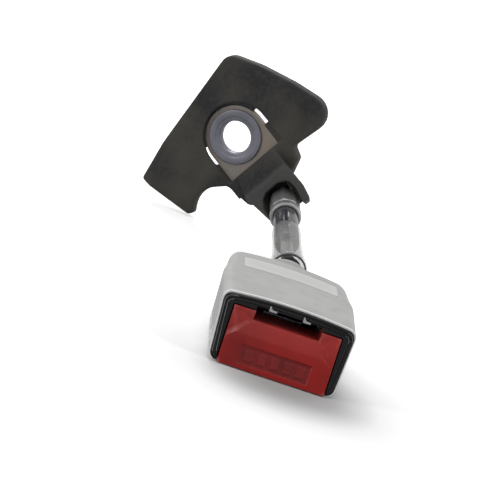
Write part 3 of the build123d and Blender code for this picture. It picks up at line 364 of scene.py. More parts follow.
def panel_material():
    """Darker red of the button's recessed panel."""
    n = Surface("button_panel")
    base = n.ramp(n.noise(0.12, 4.0), (0.15, 0.013, 0.013), (0.23, 0.017, 0.016), 0.3, 0.7)
    base = n.edge_wear_and_highlight(base, (0.36, 0.05, 0.045), amount=0.4, start=0.505, end=0.58)
    return n.moulded(base, (0.32, 0.46), specular=0.2, grain=3.0, strength=0.12)


def boot_material():
    """Milky translucent sleeve plastic."""
    n = Surface("boot_plastic")
    base = n.ramp(n.noise(0.08), (0.34, 0.34, 0.335), (0.46, 0.46, 0.45))
    n.coat(base, n.ramp(n.noise(0.3), 0.10, 0.18))
    n.shader.inputs["Alpha"].default_value = 0.36
    n.bump(n.noise(0.5, 2.0), strength=0.08, distance=0.08)
    return n.material


# Near black for the bracket where it runs under the anchor's hood: painted shade.
PAINTED_SHADE = (0.006, 0.006, 0.006)
PAINTED_SHADE_FADE = 3.0
STEEL_VARY, STEEL_EDGE = 0.12, 1.5


def steel(name, colour, rough, grain=(1.0, 12.0, 1.0), metallic=1.0, stain=None, shade_reach=None):
    """Steel with drawn grain, faint blotches and brighter edges, with painted shade beyond a reach along the
    strip.
    """
    n = Surface(name)
    base = n.ramp(n.noise(0.12, 5.0), scaled(colour, 1 - STEEL_VARY), scaled(colour, 1 + STEEL_VARY))
    if stain:
        base = n.patched(base, stain, scale=0.09, amount=0.8, start=0.45, end=0.68)
    base = n.edge_wear_and_highlight(base, scaled(colour, STEEL_EDGE), amount=0.5, start=0.51, end=0.60)
    # Painted shade beyond the reach along the strip.
    if shade_reach:
        reach = n.measured("DOT_PRODUCT", ALONG)
        base = n.mix(n.span(reach, shade_reach, shade_reach + PAINTED_SHADE_FADE, 0.0, 0.95), base, PAINTED_SHADE)
    n.coat(base, n.ramp(n.noise(0.6, 4.0, grain), rough - 0.08, rough + 0.1))
    n.shader.inputs["Metallic"].default_value = metallic
    n.bump(n.noise(1.2, 3.0, grain), strength=0.2, distance=0.04)
    return n.material


MAT_COVER = cover_material()
MAT_LABEL = plastic(
    "label_film", (0.56, 0.56, 0.555), 0.55, grain=1.0, strength=0.03, vary=0.02, specular=0.06
)
# Its edge_tint of 3.0 pales the beads' edges slightly: a faint painted highlight.
MAT_BEZEL = plastic(
    "bezel_plastic", (0.003, 0.003, 0.004), 0.12,
    grain=2.0, strength=0.03, vary=0.1, specular=0.19, edge_tint=3.0,
)
# Pale grey of the thin lines on the beads' crests: a painted highlight.
MAT_BEZEL_HIGHLIGHT = plastic("bezel_painted_highlight", (0.09, 0.09, 0.095), 0.3, grain=2.0, strength=0.05, vary=0.4)
MAT_BUTTON = button_material()
MAT_PANEL = panel_material()
MAT_LOCK = plastic("lock_plastic", (0.02, 0.02, 0.022), 0.5)
MAT_GROMMET = plastic("grommet_rubber", (0.012, 0.012, 0.012), 0.7)
MAT_SLEEVE = plastic("sleeve_plastic", (0.045, 0.042, 0.050), 0.16, grain=1.0, strength=0.03)
MAT_BOOT = boot_material()
MAT_RIM = plastic("rim_rubber", (0.008, 0.008, 0.008), 0.5)
MAT_SEAL = plastic("seal_rubber", (0.02, 0.02, 0.02), 0.6)
MAT_CAP = cap_material()
MAT_CLIP = steel("bright_steel", (0.24, 0.24, 0.24), 0.34)
MAT_FRAME = steel("frame_steel", (0.38, 0.38, 0.39), 0.35)
MAT_SPRING = steel("spring_steel", (0.5, 0.5, 0.5), 0.25)
MAT_ROPE = steel("rope_steel", (0.36, 0.36, 0.36), 0.35, grain=(2, 2, 2))
MAT_FERRULE = steel("ferrule_steel", (0.30, 0.30, 0.295), 0.42, metallic=0.8)
MAT_BUSH = steel("bush_steel", (0.14, 0.14, 0.165), 0.42, metallic=0.7)
MAT_BRACKET = steel(
    "bracket_steel", (0.16, 0.145, 0.13), 0.5, metallic=0.7, stain=(0.17, 0.115, 0.07), shade_reach=21.0
)

# ---------------- mesh helpers
SHARP = 38.0  # degrees between two faces from which their edge is drawn sharp
MERGE = 1e-6


@contextmanager
def editing(obj):
    """The object's mesh, open for edits."""
    bm = bmesh.new()
    bm.from_mesh(obj.data)
    yield bm
    bm.to_mesh(obj.data)
    bm.free()


def clean(obj, sharp=SHARP):
    """Merges doubles, points the normals out and marks the sharp edges."""
    limit = math.radians(sharp)
    with editing(obj) as bm:
        bmesh.ops.remove_doubles(bm, verts=bm.verts, dist=MERGE)
        bmesh.ops.dissolve_degenerate(bm, edges=bm.edges, dist=MERGE / 2)
        bmesh.ops.recalc_face_normals(bm, faces=bm.faces)
        for face in bm.faces:
            face.smooth = True
        for edge in bm.edges:
            edge.smooth = len(edge.link_faces) == 2 and edge.calc_face_angle(0) < limit


def scrap(name, shape):
    """Mesh object from a shape's points, in metres, and faces."""
    verts, faces = shape
    mesh = bpy.data.meshes.new(name)
    mesh.from_pydata([tuple(v) for v in verts], [], faces)
    obj = bpy.data.objects.new(name, mesh)
    bpy.context.collection.objects.link(obj)
    clean(obj)
    return obj


def dress(obj, material, node, slot, body="housing", sharp=SHARP):
    """Gives a finished mesh its material and its body, and hides the CAD part of the node it stands for."""
    clean(obj, sharp)
    obj.data.materials.clear()
    obj.data.materials.append(material)
    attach(obj, body)
    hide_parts(node)


def modify(obj, kind, **settings):
    modifier = obj.modifiers.new(kind.lower(), kind)
    for key, value in settings.items():
        setattr(modifier, key, value)


def bevel(obj, width, segments, angle):
    """Rounds the edges that are sharper than an angle, in degrees."""
    modify(
        obj, "BEVEL", width=width * MM, segments=segments,
        limit_method="ANGLE", angle_limit=math.radians(angle),
    )


def bake(obj, sharp=SHARP):
    """Applies the object's modifiers."""
    graph = bpy.context.evaluated_depsgraph_get()
    mesh = bpy.data.meshes.new_from_object(obj.evaluated_get(graph))
    old = obj.data
    obj.modifiers.clear()
    obj.data = mesh
    bpy.data.meshes.remove(old)
    clean(obj, sharp)


def boolean(obj, other, operation):
    """Cuts another mesh from the object, or unites the two."""
    modify(obj, "BOOLEAN", operation=operation, solver="EXACT", object=other)
    bake(obj)
    bpy.data.objects.remove(other)


def cut(obj, shape):
    boolean(obj, scrap("cutter", shape), "DIFFERENCE")


def unite(obj, shape):
    boolean(obj, scrap("addition", shape), "UNION")


def join(obj, *others):
    """Adds other meshes to one object."""
    with editing(obj) as bm:
        for other in others:
            bm.from_mesh(other.data)
            bpy.data.objects.remove(other)


def slice_at(bm, place, normal):
    """Splits the faces that a plane passes through."""
    geometry = bm.verts[:] + bm.edges[:] + bm.faces[:]
    bmesh.ops.bisect_plane(bm, geom=geometry, plane_co=place, plane_no=normal, dist=MERGE / 10)


def skin(rings, capped=True):
    """Shape over rings of equal size, with or without its two ends."""
    size = len(rings[0])
    verts = [v for ring in rings for v in ring]
    faces = []
    if capped:
        faces += [tuple(range(size)), tuple(reversed(range(len(verts) - size, len(verts))))]
    for start in range(0, len(verts) - size, size):
        for k in range(size):
            m = (k + 1) % size
            faces.append((start + k, start + m, start + size + m, start + size + k))
    return verts, faces


def prism(points, place_a, place_b):
    """Shape of a polygon carried from one layer to another."""
    return skin([[place_a(*p) for p in points], [place_b(*p) for p in points]])


def block(place, xs, ys, zs):
    """Shape of a block between two values of each coordinate."""
    corners = [(xs[0], ys[0]), (xs[1], ys[0]), (xs[1], ys[1]), (xs[0], ys[1])]
    return skin([[place(x, y, z) for x, y in corners] for z in zs])


def revolved(profile, place, steps, turn=math.tau, start=0.0):
    """Shape of a closed profile of (radius, reach) turned about an axis."""
    full = turn == math.tau
    count = steps if full else steps + 1
    rings = [[place(r, start + turn * i / steps, y) for r, y in profile] for i in range(count)]
    if full:
        rings.append(rings[0])
    return skin(rings, capped=not full)


def tube(name, centres, axes, radius, steps):
    """Round bar through the centres, across the pair of axes at each."""
    turns = [math.tau * k / steps for k in range(steps)]
    rings = []
    for centre, (side, other) in zip(centres, axes):
        ring = [centre + (side * math.cos(t) + other * math.sin(t)) * radius * MM for t in turns]
        rings.append(ring)
    return scrap(name, skin(rings))


def heading(points, i):
    """Direction of a path at one of its points."""
    return (points[min(i + 1, len(points) - 1)] - points[max(i - 1, 0)]).normalized()


def rounded(corners, steps):
    """Closed polygon from corners of (x, y, radius)."""
    out = []
    size = len(corners)
    for i, (x, y, r) in enumerate(corners):
        if r <= 0:
            out.append((x, y))
            continue
        p = Vector((x, y))
        a = (Vector(corners[i - 1][:2]) - p).normalized()
        b = (Vector(corners[(i + 1) % size][:2]) - p).normalized()
        half = a.angle(b) / 2
        reach = r / math.tan(half)
        centre = p + (a + b).normalized() * (r / math.sin(half))
        first = p + a * reach - centre
        last = p + b * reach - centre
        turn = first.angle_signed(last)
        for k in range(steps + 1):
            cos, sin = math.cos(-turn * k / steps), math.sin(-turn * k / steps)
            out.append((centre.x + first.x * cos - first.y * sin, centre.y + first.x * sin + first.y * cos))
    return out


def slab(x, half_width, low, high, radius, steps):
    """Upright rectangle with rounded corners."""
    left, right = x - half_width, x + half_width
    corners = [(left, low, radius), (right, low, radius), (right, high, radius), (left, high, radius)]
    return rounded(corners, steps)


# ---------------- head: form of the covers
REAR = (  # reach, loss of half width, rise of the base and drop of the top
    (34.0, 0.0, 0.0), (46.0, 1.5, 0.0), (55.0, 2.3, 0.0), (60.0, 3.2, 0.1), (64.0, 4.8, 0.7),
    (67.0, 7.4, 2.2), (68.5, 10.5, 4.2),
)
LOSS, RISE = 1, 2  # columns of the table above
CORNER_STEPS, BASE_STEPS, SIDE_STEPS, TOP_STEPS = 8, 9, 6, 11
BASE_FLAT = 0.8  # share of the base that is divided evenly
TOP_BEND = (0.6, 0.64)  # point on the crown that the top corner runs to: shares of width and crown


def eased(y, column):
    """Smooth curve through one column of the rear's table."""
    xs = [0.0] + [row[0] for row in REAR]
    ys = [0.0] + [row[column] for row in REAR]
    if y <= xs[1]:
        return 0.0
    chords = [(ys[k + 1] - ys[k]) / (xs[k + 1] - xs[k]) for k in range(len(REAR))]
    slopes = [0.0]
    for before, after in zip(chords, chords[1:]):
        slopes.append(0.0 if before * after <= 0 else 2 * before * after / (before + after))
    slopes.append(chords[-1])
    i = min(len(REAR) - 1, max(k for k, x in enumerate(xs) if x <= y))
    h = xs[i + 1] - xs[i]
    t = (y - xs[i]) / h
    return (
        (2 * t**3 - 3 * t**2 + 1) * ys[i]
        + (t**3 - 2 * t**2 + t) * h * slopes[i]
        + (-2 * t**3 + 3 * t**2) * ys[i + 1]
        + (t**3 - t**2) * h * slopes[i + 1]
    )


def ridge_at(y):
    """Height of the crown's ridge."""
    return HEIGHT - TOP_DROP * y / LENGTH - eased(y, RISE)


def head_ring(y, inset):
    """Closed section of the head, from the bottom centre round the right side."""
    loss, rise = eased(y, LOSS) + inset, eased(y, RISE) + inset
    top, base = TOP_HALF - loss, BASE_HALF - loss
    ridge = ridge_at(y) - inset
    shoulder = ridge - CROWN
    half = [(base * BASE_FLAT * k / BASE_STEPS, rise) for k in range(BASE_STEPS)]
    arcs = rounded(
        [
            (0, rise, 0),
            (base, rise, BASE_RADIUS - inset / 2),
            (top, shoulder, TOP_RADIUS - inset / 2),
            (top * TOP_BEND[0], shoulder + CROWN * TOP_BEND[1], 0),
        ],
        CORNER_STEPS,
    )[1:-1]
    lower_arc, upper_arc = arcs[: CORNER_STEPS + 1], arcs[CORNER_STEPS + 1 :]
    (x1, z1), (x2, z2) = lower_arc[-1], upper_arc[0]
    half += lower_arc
    for k in range(1, SIDE_STEPS):
        half.append((x1 + (x2 - x1) * k / SIDE_STEPS, z1 + (z2 - z1) * k / SIDE_STEPS))
    half += upper_arc
    edge_x, edge_z = half[-1]
    for k in range(1, TOP_STEPS + 1):
        share = 1 - k / TOP_STEPS
        half.append((edge_x * share, ridge - (ridge - edge_z) * share**2))
    return half + [(-x, z) for x, z in reversed(half[1:-1])]


# ---------------- covers
STATIONS = (
    0.0, 0.6, 2, 5, 9, 14, 20, 26, 30, 32, 34, 36, 38, 40, 42, 44, 46, 48, 50, 52, 54, 56, 58,
    59.5, 61, 62.4, 63.6, 64.7, 65.6, 66.4, 67.1, 67.7, 68.1, 68.4, 68.5,
)
LEAN_REACH = 26.0  # the sections stand upright behind it
TAIL_SHARES = (0.97, 0.9, 0.6)  # rings that close the rear end round the neck
TAIL_BULGE = 0.05
PARTING, PARTING_STEP, PARTING_GAP = 4.0, 57.0, 0.2
UPPER_FRONT, LOWER_FRONT = 4.8, 5.0  # where the side skirts of the upper half end, and the lower half starts
COVER_EDGE = 0.65
NECK = (
    (5.25, 66.6), (13.6, 66.6), (13.4, 67.6), (12.6, 68.25), (11.2, 68.75), (10.3, 69.5), (9.75, 70.6),
    (9.3, 72.2), (8.6, 75.2), (7.75, 78.6), (7.45, 79.7), (7.2, 80.25), (6.8, 80.5), (5.6, 80.5),
    (5.25, 80.2),
)
NECK_STEPS = 32


def cover_rings():
    """Sections of the head from the leaning face to the hole for the neck."""
    rings = []
    for y in STATIONS:
        blend = max(0.0, 1 - y / LEAN_REACH)
        rings.append([head(x, y + lean_at(z) * blend, z) for x, z in head_ring(y, 0.0)])
    for share in TAIL_SHARES:
        reach = LENGTH + TAIL_BULGE * (1 - share)
        section = [(x * share, ROPE_HEIGHT + (z - ROPE_HEIGHT) * share) for x, z in head_ring(LENGTH, 0.0)]
        rings.append([head(x, reach, z) for x, z in section])
    return rings


def cover_half(name, upper):
    """One half of the head's cover with its wall and its half of the neck."""
    obj = scrap(name, skin(cover_rings(), capped=False))
    gap = 0.0 if upper else PARTING_GAP
    front = UPPER_FRONT if upper else LOWER_FRONT
    with editing(obj) as bm:
        slice_at(bm, head(0, 0, PARTING - gap), UP)
        slice_at(bm, head(0, PARTING_STEP + gap, 0), Y)
        slice_at(bm, head(0, 0, ROPE_HEIGHT - gap), UP)
        slice_at(bm, head(0, front, 0), Y)
        slice_at(bm, head(MOUTH_HALF, 0, 0), X)
        slice_at(bm, head(-MOUTH_HALF, 0, 0), X)
        drop = []
        for face in bm.faces:
            c = face.calc_center_median() / MM - HEAD
            split = ROPE_HEIGHT - gap if c.y > PARTING_STEP + gap else PARTING - gap
            skirt = c.y < front and abs(c.x) > MOUTH_HALF
            kept = (c.z > split or skirt) if upper else (c.z < split and c.y > front)
            if not kept:
                drop.append(face)
        bmesh.ops.delete(bm, geom=drop, context="FACES")
        bmesh.ops.recalc_face_normals(bm, faces=bm.faces)
    modify(obj, "SOLIDIFY", thickness=WALL * MM, offset=-1, use_even_offset=True)
    bevel(obj, COVER_EDGE, segments=4, angle=55)
    bake(obj, sharp=50)
    shift, start = (0.0, 0.0) if upper else (-PARTING_GAP * MM, math.pi)
    neck = revolved(NECK, lambda r, a, y: rope(r, a, y) + UP * shift, NECK_STEPS, turn=math.pi, start=start)
    join(obj, scrap("neck", neck))
    return obj


dress(cover_half("piece_upper_cover", True), MAT_COVER, "upper_cover", "cover_plastic")
dress(cover_half("piece_lower_cover", False), MAT_COVER, "lower_cover", "cover_plastic")

# ---------------- label, bent over the crown
LABEL_HALF, LABEL_FRONT, LABEL_BACK, LABEL_RADIUS = 19.5, 39.0, 53.0, 1.2
LABEL_UNDER, LABEL_OVER = -0.1, 0.13  # its two faces, from the cover's top
LABEL_COLUMNS = [4.0 * k for k in range(-4, 5)]
LABEL_ROWS = [42.5 + 3.5 * k for k in range(3)]
LABEL_LAYERS = (20.0, 21.0)  # flat sheet before it is bent


def top_height(x, y):
    """Height of the head's top surface."""
    return ridge_at(y) - CROWN * (x / (TOP_HALF - eased(y, LOSS))) ** 2


label_outline = slab(0.0, LABEL_HALF, LABEL_FRONT, LABEL_BACK, LABEL_RADIUS, steps=5)
label = scrap("piece_label", prism(label_outline, on_base(LABEL_LAYERS[0]), on_base(LABEL_LAYERS[1])))
with editing(label) as bm:
    for x in LABEL_COLUMNS:
        slice_at(bm, head(x, 0, 0), X)
    for y in LABEL_ROWS:
        slice_at(bm, head(0, y, 0), Y)
    for v in bm.verts:
        p = v.co / MM - HEAD
        lift = LABEL_OVER if p.z > sum(LABEL_LAYERS) / 2 else LABEL_UNDER
        v.co.z = (HEAD.z + top_height(p.x, p.y) + lift) * MM
dress(label, MAT_LABEL, "label_plate", "label")

# ---------------- bezel round the slot and the button
MOUTH_TOP = 22.8
SLOT_HALF, SLOT_TOP = 13.2, 24.3
LINER_GAP, LINER_REACH = 0.15, 18.0
FLANGE_INSET, FLANGE_PROUD, FLANGE_BACK, FLANGE_EDGE = 0.55, 0.85, 0.02, 0.28
FOOT_SLACK, FOOT_HEIGHT = 0.05, 10  # the outside ends where it meets the opening's side
BEADS = (  # inset, radius, how deep its centre is sunk, and how far its crest stands out
    (1.25, 0.55, 0.15, 0.32), (2.55, 0.45, 0.12, 0.26),
)
BEAD_STEPS = 10
# Thin pale lines on the beads' crests, down the left side and round the top right corner: painted highlights.
HIGHLIGHT_RADIUS, HIGHLIGHT_STEPS = 0.17, 6
HIGHLIGHT_LEFT, HIGHLIGHT_SIDE, HIGHLIGHT_FOOT, HIGHLIGHT_CORNER = -21.0, -23.0, 3.0, 23.0  # down the left side
HIGHLIGHT_RIGHT = (22.0, 21.5)  # round the top right corner


def bezel_path(inset):
    """Outside of the bezel, from the bottom left over the top to the bottom right."""
    ring = head_ring(0.0, inset)
    right = [p for p in ring[: len(ring) // 2 + 1] if p[0] >= MOUTH_HALF - FOOT_SLACK or p[1] > FOOT_HEIGHT]
    path = [(-x, z) for x, z in right] + right[-2::-1]
    foot = path[0][1]
    return [(-MOUTH_HALF, foot), *path, (MOUTH_HALF, foot)]


def bezel_outline(inset):
    """Closed outline of the bezel round the opening for the button and the tongue."""
    outside = bezel_path(inset)
    foot = outside[0][1]
    left = [
        (-MOUTH_HALF, foot, 0), (-MOUTH_HALF, MOUTH_TOP, 0.8), (-SLOT_HALF, MOUTH_TOP, 0.3),
        (-SLOT_HALF, SLOT_TOP, 0.5),
    ]
    right = [(-x, z, r) for x, z, r in reversed(left)]
    return outside + rounded(left + right, steps=4)[::-1]


def bead(path, radius, proud, steps):
    """Rounded bead that runs along a path on the leaning face."""
    points = [on_face(proud)(x, z) for x, z in path]
    axes = []
    for i in range(len(points)):
        axes.append((heading(points, i).cross(FACE_NORMAL).normalized(), FACE_NORMAL))
    return tube("bead", points, axes, radius, steps)


flange = scrap("piece_bezel", prism(bezel_outline(FLANGE_INSET), on_face(FLANGE_PROUD), on_face(FLANGE_BACK)))
bevel(flange, FLANGE_EDGE, segments=3, angle=40)
bake(flange, sharp=45)
liner_layers = on_face(FLANGE_BACK), lambda x, z: head(x, LINER_REACH, z)
join(flange, scrap("liner", prism(bezel_outline(WALL + LINER_GAP), *liner_layers)))
highlight_lines = []
for inset, radius, sunk, crest in BEADS:
    path = bezel_path(inset)[1:-1]
    join(flange, bead(path, radius, FLANGE_PROUD - sunk, BEAD_STEPS))
    left = [(x, z) for x, z in path if x < HIGHLIGHT_LEFT and z > HIGHLIGHT_FOOT and (x < HIGHLIGHT_SIDE or z > HIGHLIGHT_CORNER)]
    right = [(x, z) for x, z in path if x > HIGHLIGHT_RIGHT[0] and z > HIGHLIGHT_RIGHT[1]]
    highlight_lines += [bead(line, HIGHLIGHT_RADIUS, FLANGE_PROUD + crest, HIGHLIGHT_STEPS) for line in (left, right)]
dress(flange, MAT_BEZEL, "bezel", "bezel_plastic")
join(*highlight_lines)
highlight_lines[0].name = "piece_bezel_edges"
dress(highlight_lines[0], MAT_BEZEL_HIGHLIGHT, "bezel", "bezel_plastic", sharp=80)

# ---------------- press button
BUTTON_BASE, BUTTON_TOP, BUTTON_BACK, BUTTON_PROUD, BUTTON_EDGE = 0.35, 22.4, 11.0, 1.6, 0.5
FOOT_CUT = ((-30, 30), (-1.5, 20), (-5, 2.0))  # room behind the foot of its face
NOTCH_LEFT, NOTCH_RIGHT, NOTCH_FLOOR = -13.1, 13.9, 18.6
NOTCH_BACK, SHOULDER_BACK, CORNER_BACK = 2.4, 0.9, 0.1  # how far the upper edges stand back
SIDE_TOP, BAND_HALF, BAND_TOP = 9.8, 18.7, 13.1  # upright face, below the slope and the two gussets
PANEL_HALF, PANEL_BASE, PANEL_TOP, PANEL_DEPTH, PANEL_SLOPE = 14.0, 2.25, 9.25, 0.6, 0.25
PANEL_COLOUR_BASE = PANEL_BASE + 0.05
TILES, TILE_PITCH, TILE_HALF, TILE_BASE, TILE_TOP = 5, 5.2, 1.6, 3.75, 8.05
TILE_RADIUS, TILE_FACE, TILE_ROOT, TILE_EDGE = 0.5, 0.22, 0.8, 0.14
FACET, FACET_ROUNDS = 1.6, 5  # longest edge in the button's mesh, for its worn edges


def button_front(x, z, back=0.0):
    """Point on the button's face, or behind it."""
    return head(x, lean_at(z, BUTTON_PROUD) + back, z)


def on_button(back):
    """Layer behind the button's face."""
    return lambda x, z: button_front(x, z, back)


def rectangle(half, low, high, back=0.0):
    return [(-half, low, back), (half, low, back), (half, high, back), (-half, high, back)]


panel_rim = rectangle(PANEL_HALF + PANEL_SLOPE, PANEL_BASE - PANEL_SLOPE, PANEL_TOP + PANEL_SLOPE)
front_points = [
    (-BUTTON_HALF, BUTTON_BASE, 0), (BUTTON_HALF, BUTTON_BASE, 0), (BUTTON_HALF, SIDE_TOP, 0),
    (BAND_HALF, BAND_TOP, 0), (-BAND_HALF, BAND_TOP, 0), (-BUTTON_HALF, SIDE_TOP, 0),
    (BUTTON_HALF, BUTTON_TOP, CORNER_BACK), (NOTCH_RIGHT, BUTTON_TOP, SHOULDER_BACK),
    (NOTCH_RIGHT, NOTCH_FLOOR, NOTCH_BACK), (NOTCH_LEFT, NOTCH_FLOOR, NOTCH_BACK),
    (NOTCH_LEFT, BUTTON_TOP, SHOULDER_BACK), (-BUTTON_HALF, BUTTON_TOP, CORNER_BACK),
    *panel_rim, *rectangle(PANEL_HALF, PANEL_BASE, PANEL_TOP, PANEL_DEPTH),
]
button_faces = [
    (0, 1, 13, 12), (1, 2, 3, 14, 13), (3, 4, 15, 14), (4, 5, 0, 12, 15),  # face round the panel
    (4, 3, 8, 9), (2, 6, 7, 8, 3), (5, 4, 9, 10, 11),  # slope and gussets
    (12, 13, 17, 16), (13, 14, 18, 17), (14, 15, 19, 18), (15, 12, 16, 19), (16, 17, 18, 19),  # panel
]
outline = (0, 1, 2, 6, 7, 8, 9, 10, 11, 5)
button_verts = [button_front(*p) for p in front_points]
back_start = len(button_verts)
button_verts += [head(front_points[k][0], BUTTON_BACK, front_points[k][1]) for k in outline]
for i, k in enumerate(outline):
    j = (i + 1) % len(outline)
    button_faces.append((k, outline[j], back_start + j, back_start + i))
button_faces.append(tuple(range(len(button_verts) - 1, back_start - 1, -1)))
button = scrap("piece_button", (button_verts, button_faces))
cut(button, block(head, *FOOT_CUT))
bevel(button, BUTTON_EDGE, segments=4, angle=8)
bake(button, sharp=60)
for k in range(TILES):
    x = (k - (TILES - 1) / 2) * TILE_PITCH
    tile_outline = slab(x, TILE_HALF, TILE_BASE, TILE_TOP, TILE_RADIUS, steps=4)
    tile = scrap("tile", prism(tile_outline, on_button(TILE_FACE), on_button(TILE_ROOT)))
    bevel(tile, TILE_EDGE, segments=2, angle=40)
    bake(tile)
    join(button, tile)
with editing(button) as bm:
    for _ in range(FACET_ROUNDS):
        bmesh.ops.triangulate(bm, faces=bm.faces)
        long_edges = [edge for edge in bm.edges if edge.calc_length() > FACET * MM]
        bmesh.ops.subdivide_edges(bm, edges=long_edges, cuts=1, use_grid_fill=False)
dress(button, MAT_BUTTON, "press_button", "button_plastic", body="button", sharp=60)
button.data.materials.append(MAT_PANEL)
for polygon in button.data.polygons:
    c = polygon.center / MM - HEAD
    near_face = c.y < lean_at(c.z, BUTTON_PROUD) + 2 * PANEL_DEPTH
    if near_face and abs(c.x) < PANEL_HALF and PANEL_COLOUR_BASE < c.z < PANEL_TOP:
        polygon.material_index = 1

# ---------------- bright clips on the slot's ceiling
CLIP_OFFSET, CLIP_HALF, CLIP_GAUGE, CLIP_TOP, CLIP_EDGE = 6.9, 1.6, 0.4, 25.9, 0.12
CLIP_REACH = (-1.9, 5.0)
FOLD_LAYERS = (1.25, 0.75)  # the part that is folded up in front of the bezel
clips = []
for x in (-CLIP_OFFSET, CLIP_OFFSET):
    left, right, foot = x - CLIP_HALF, x + CLIP_HALF, SLOT_TOP - CLIP_GAUGE
    clip = scrap("clip", block(head, (left, right), CLIP_REACH, (foot, SLOT_TOP)))
    fold = [
        (left, foot), (right, foot), (right, foot + 0.75), (x - 0.1, foot + 0.85), (x - 0.8, foot + 1.3),
        (x - 1.1, CLIP_TOP), (left, CLIP_TOP),
    ]
    join(clip, scrap("fold", prism(fold, *map(on_face, FOLD_LAYERS))))
    bevel(clip, CLIP_EDGE, segments=2, angle=30)
    bake(clip)
    clips.append(clip)
join(*clips)
clips[0].name = "piece_clips"
dress(clips[0], MAT_CLIP, "slot_clips", "bright_steel")

# ---------------- wire rope
ROPE_POINTS = (  # socket, neck, first bend, both sides of the boot's mouth, ferrule
    HEAD + Vector((0, 61.0, ROPE_HEIGHT)), HEAD + Vector((0, 80.0, ROPE_HEIGHT)),
    HEAD + Vector((0.1, 86.0, ROPE_HEIGHT)), MOUTH - STALK * 3.0, MOUTH + STALK * 4.0,
    MOUTH + STALK * (STALK_LENGTH - 10.0),
)
ROPE_STEP = 0.8
STRANDS, STRAND_RADIUS, STRAND_OFFSET, STRAND_PITCH, STRAND_STEPS = 9, 0.80, 2.0, 26.0, 8
CORE_RADIUS, CORE_STEPS = 1.75, 16


def rope_route():
    """Smooth line through the rope's points, as short steps."""
    curve = bpy.data.curves.new("rope_route", "CURVE")
    curve.dimensions = "3D"
    spline = curve.splines.new("NURBS")
    spline.points.add(len(ROPE_POINTS) - 1)
    for point, place in zip(spline.points, ROPE_POINTS):
        point.co = (*(place * MM), 1)
    spline.order_u = 3
    spline.use_endpoint_u = True
    spline.resolution_u = 24
    route = bpy.data.objects.new("rope_route", curve)
    bpy.context.collection.objects.link(route)
    points = [v.co.copy() for v in bpy.data.meshes.new_from_object(route).vertices]
    bpy.data.objects.remove(route)
    out, carry, step = [points[0]], 0.0, ROPE_STEP * MM
    for a, b in zip(points, points[1:]):
        length = (b - a).length
        while carry + length >= step:
            a = a + (b - a) * (step - carry) / length
            out.append(a)
            length = (b - a).length
            carry = 0.0
        carry += length
    return out


def strand(route, radius, offset, phase, steps):
    """Wire that winds round the route."""
    centres, side, travelled = [], X, 0.0
    for i, p in enumerate(route):
        tangent = heading(route, i)
        side = (side - tangent * side.dot(tangent)).normalized()
        if i:
            travelled += (p - route[i - 1]).length
        a = phase + math.tau * travelled / (STRAND_PITCH * MM)
        centres.append(p + (side * math.cos(a) + tangent.cross(side) * math.sin(a)) * offset * MM)
    axes = []
    for i in range(len(centres)):
        tangent = heading(centres, i)
        across = (X - tangent * tangent.x).normalized()
        axes.append((across, tangent.cross(across)))
    return tube("strand", centres, axes, radius, steps)


route = rope_route()
wire = strand(route, CORE_RADIUS, 0.0, 0.0, CORE_STEPS)
phases = [math.tau * k / STRANDS for k in range(STRANDS)]
join(wire, *[strand(route, STRAND_RADIUS, STRAND_OFFSET, phase, STRAND_STEPS) for phase in phases])
wire.name = "piece_rope"
dress(wire, MAT_ROPE, "wire_rope", "rope_steel", sharp=60)

# ---------------- turned pieces, as (radius, reach)
SLEEVE_END = COLLAR_START + 2.0
GROMMET = (
    (3.1, 71.0), (5.2, 71.0), (5.2, 73.5), (6.1, 73.5), (6.1, 75.5), (5.2, 75.5), (5.2, 80.6),
    (5.5, 80.65), (5.55, 81.2), (5.1, 81.6), (4.8, 82.2), (4.55, 83.2), (4.3, 83.7), (3.9, 83.9),
    (3.3, 83.9), (3.1, 83.7),
)
SLEEVE = (
    (3.7, 26.0), (4.1, 25.8), (4.9, 25.8), (5.2, 26.0), (5.3, 26.4), (5.3, SLEEVE_END), (3.7, SLEEVE_END),
)
BOOT = (
    (7.0, 0.15), (7.3, -0.1), (7.7, -0.1), (7.9, 0.2), (7.85, 1.0), (7.6, 3.0), (7.2, 7.0), (6.8, 11.5),
    (6.45, 17.0), (6.25, 23.0), (6.2, 30.0), (6.2, 36.4), (6.1, 36.85), (5.9, 37.0), (5.45, 37.0),
    (5.4, 36.6), (5.4, 23.0), (5.65, 17.0), (6.0, 11.5), (6.4, 7.0), (6.8, 3.0), (6.95, 1.0),
)
BOOT_RIM = (
    (6.75, -0.7), (6.95, -0.95), (7.25, -0.95), (7.4, -0.75), (7.4, -0.1), (7.0, 0.2), (6.75, 0.1),
)
SEAL = (
    (2.85, 0.9), (3.1, 0.6), (4.7, 0.6), (5.05, 0.75), (5.2, 1.1), (5.1, 1.5), (3.6, 1.8), (3.4, 2.4),
    (3.4, 7.0), (2.85, 7.0),
)
TURNED = (  # piece, profile, axis, steps, material, node and slot
    ("piece_grommet", GROMMET, rope, 48, MAT_GROMMET, "cable_grommet", "grommet_rubber"),
    ("piece_sleeve", SLEEVE, stalk, 64, MAT_SLEEVE, "stalk_sleeve", "sleeve_plastic"),
    ("piece_boot", BOOT, stalk, 72, MAT_BOOT, "sleeve_boot", "boot_plastic"),
    ("piece_rim", BOOT_RIM, stalk, 72, MAT_RIM, "boot_rim", "rim_rubber"),
    ("piece_seal", SEAL, stalk, 64, MAT_SEAL, "boot_seal", "seal_rubber"),
)
for name, profile, axis, steps, material, node, slot in TURNED:
    dress(scrap(name, revolved(profile, axis, steps)), material, node, slot)

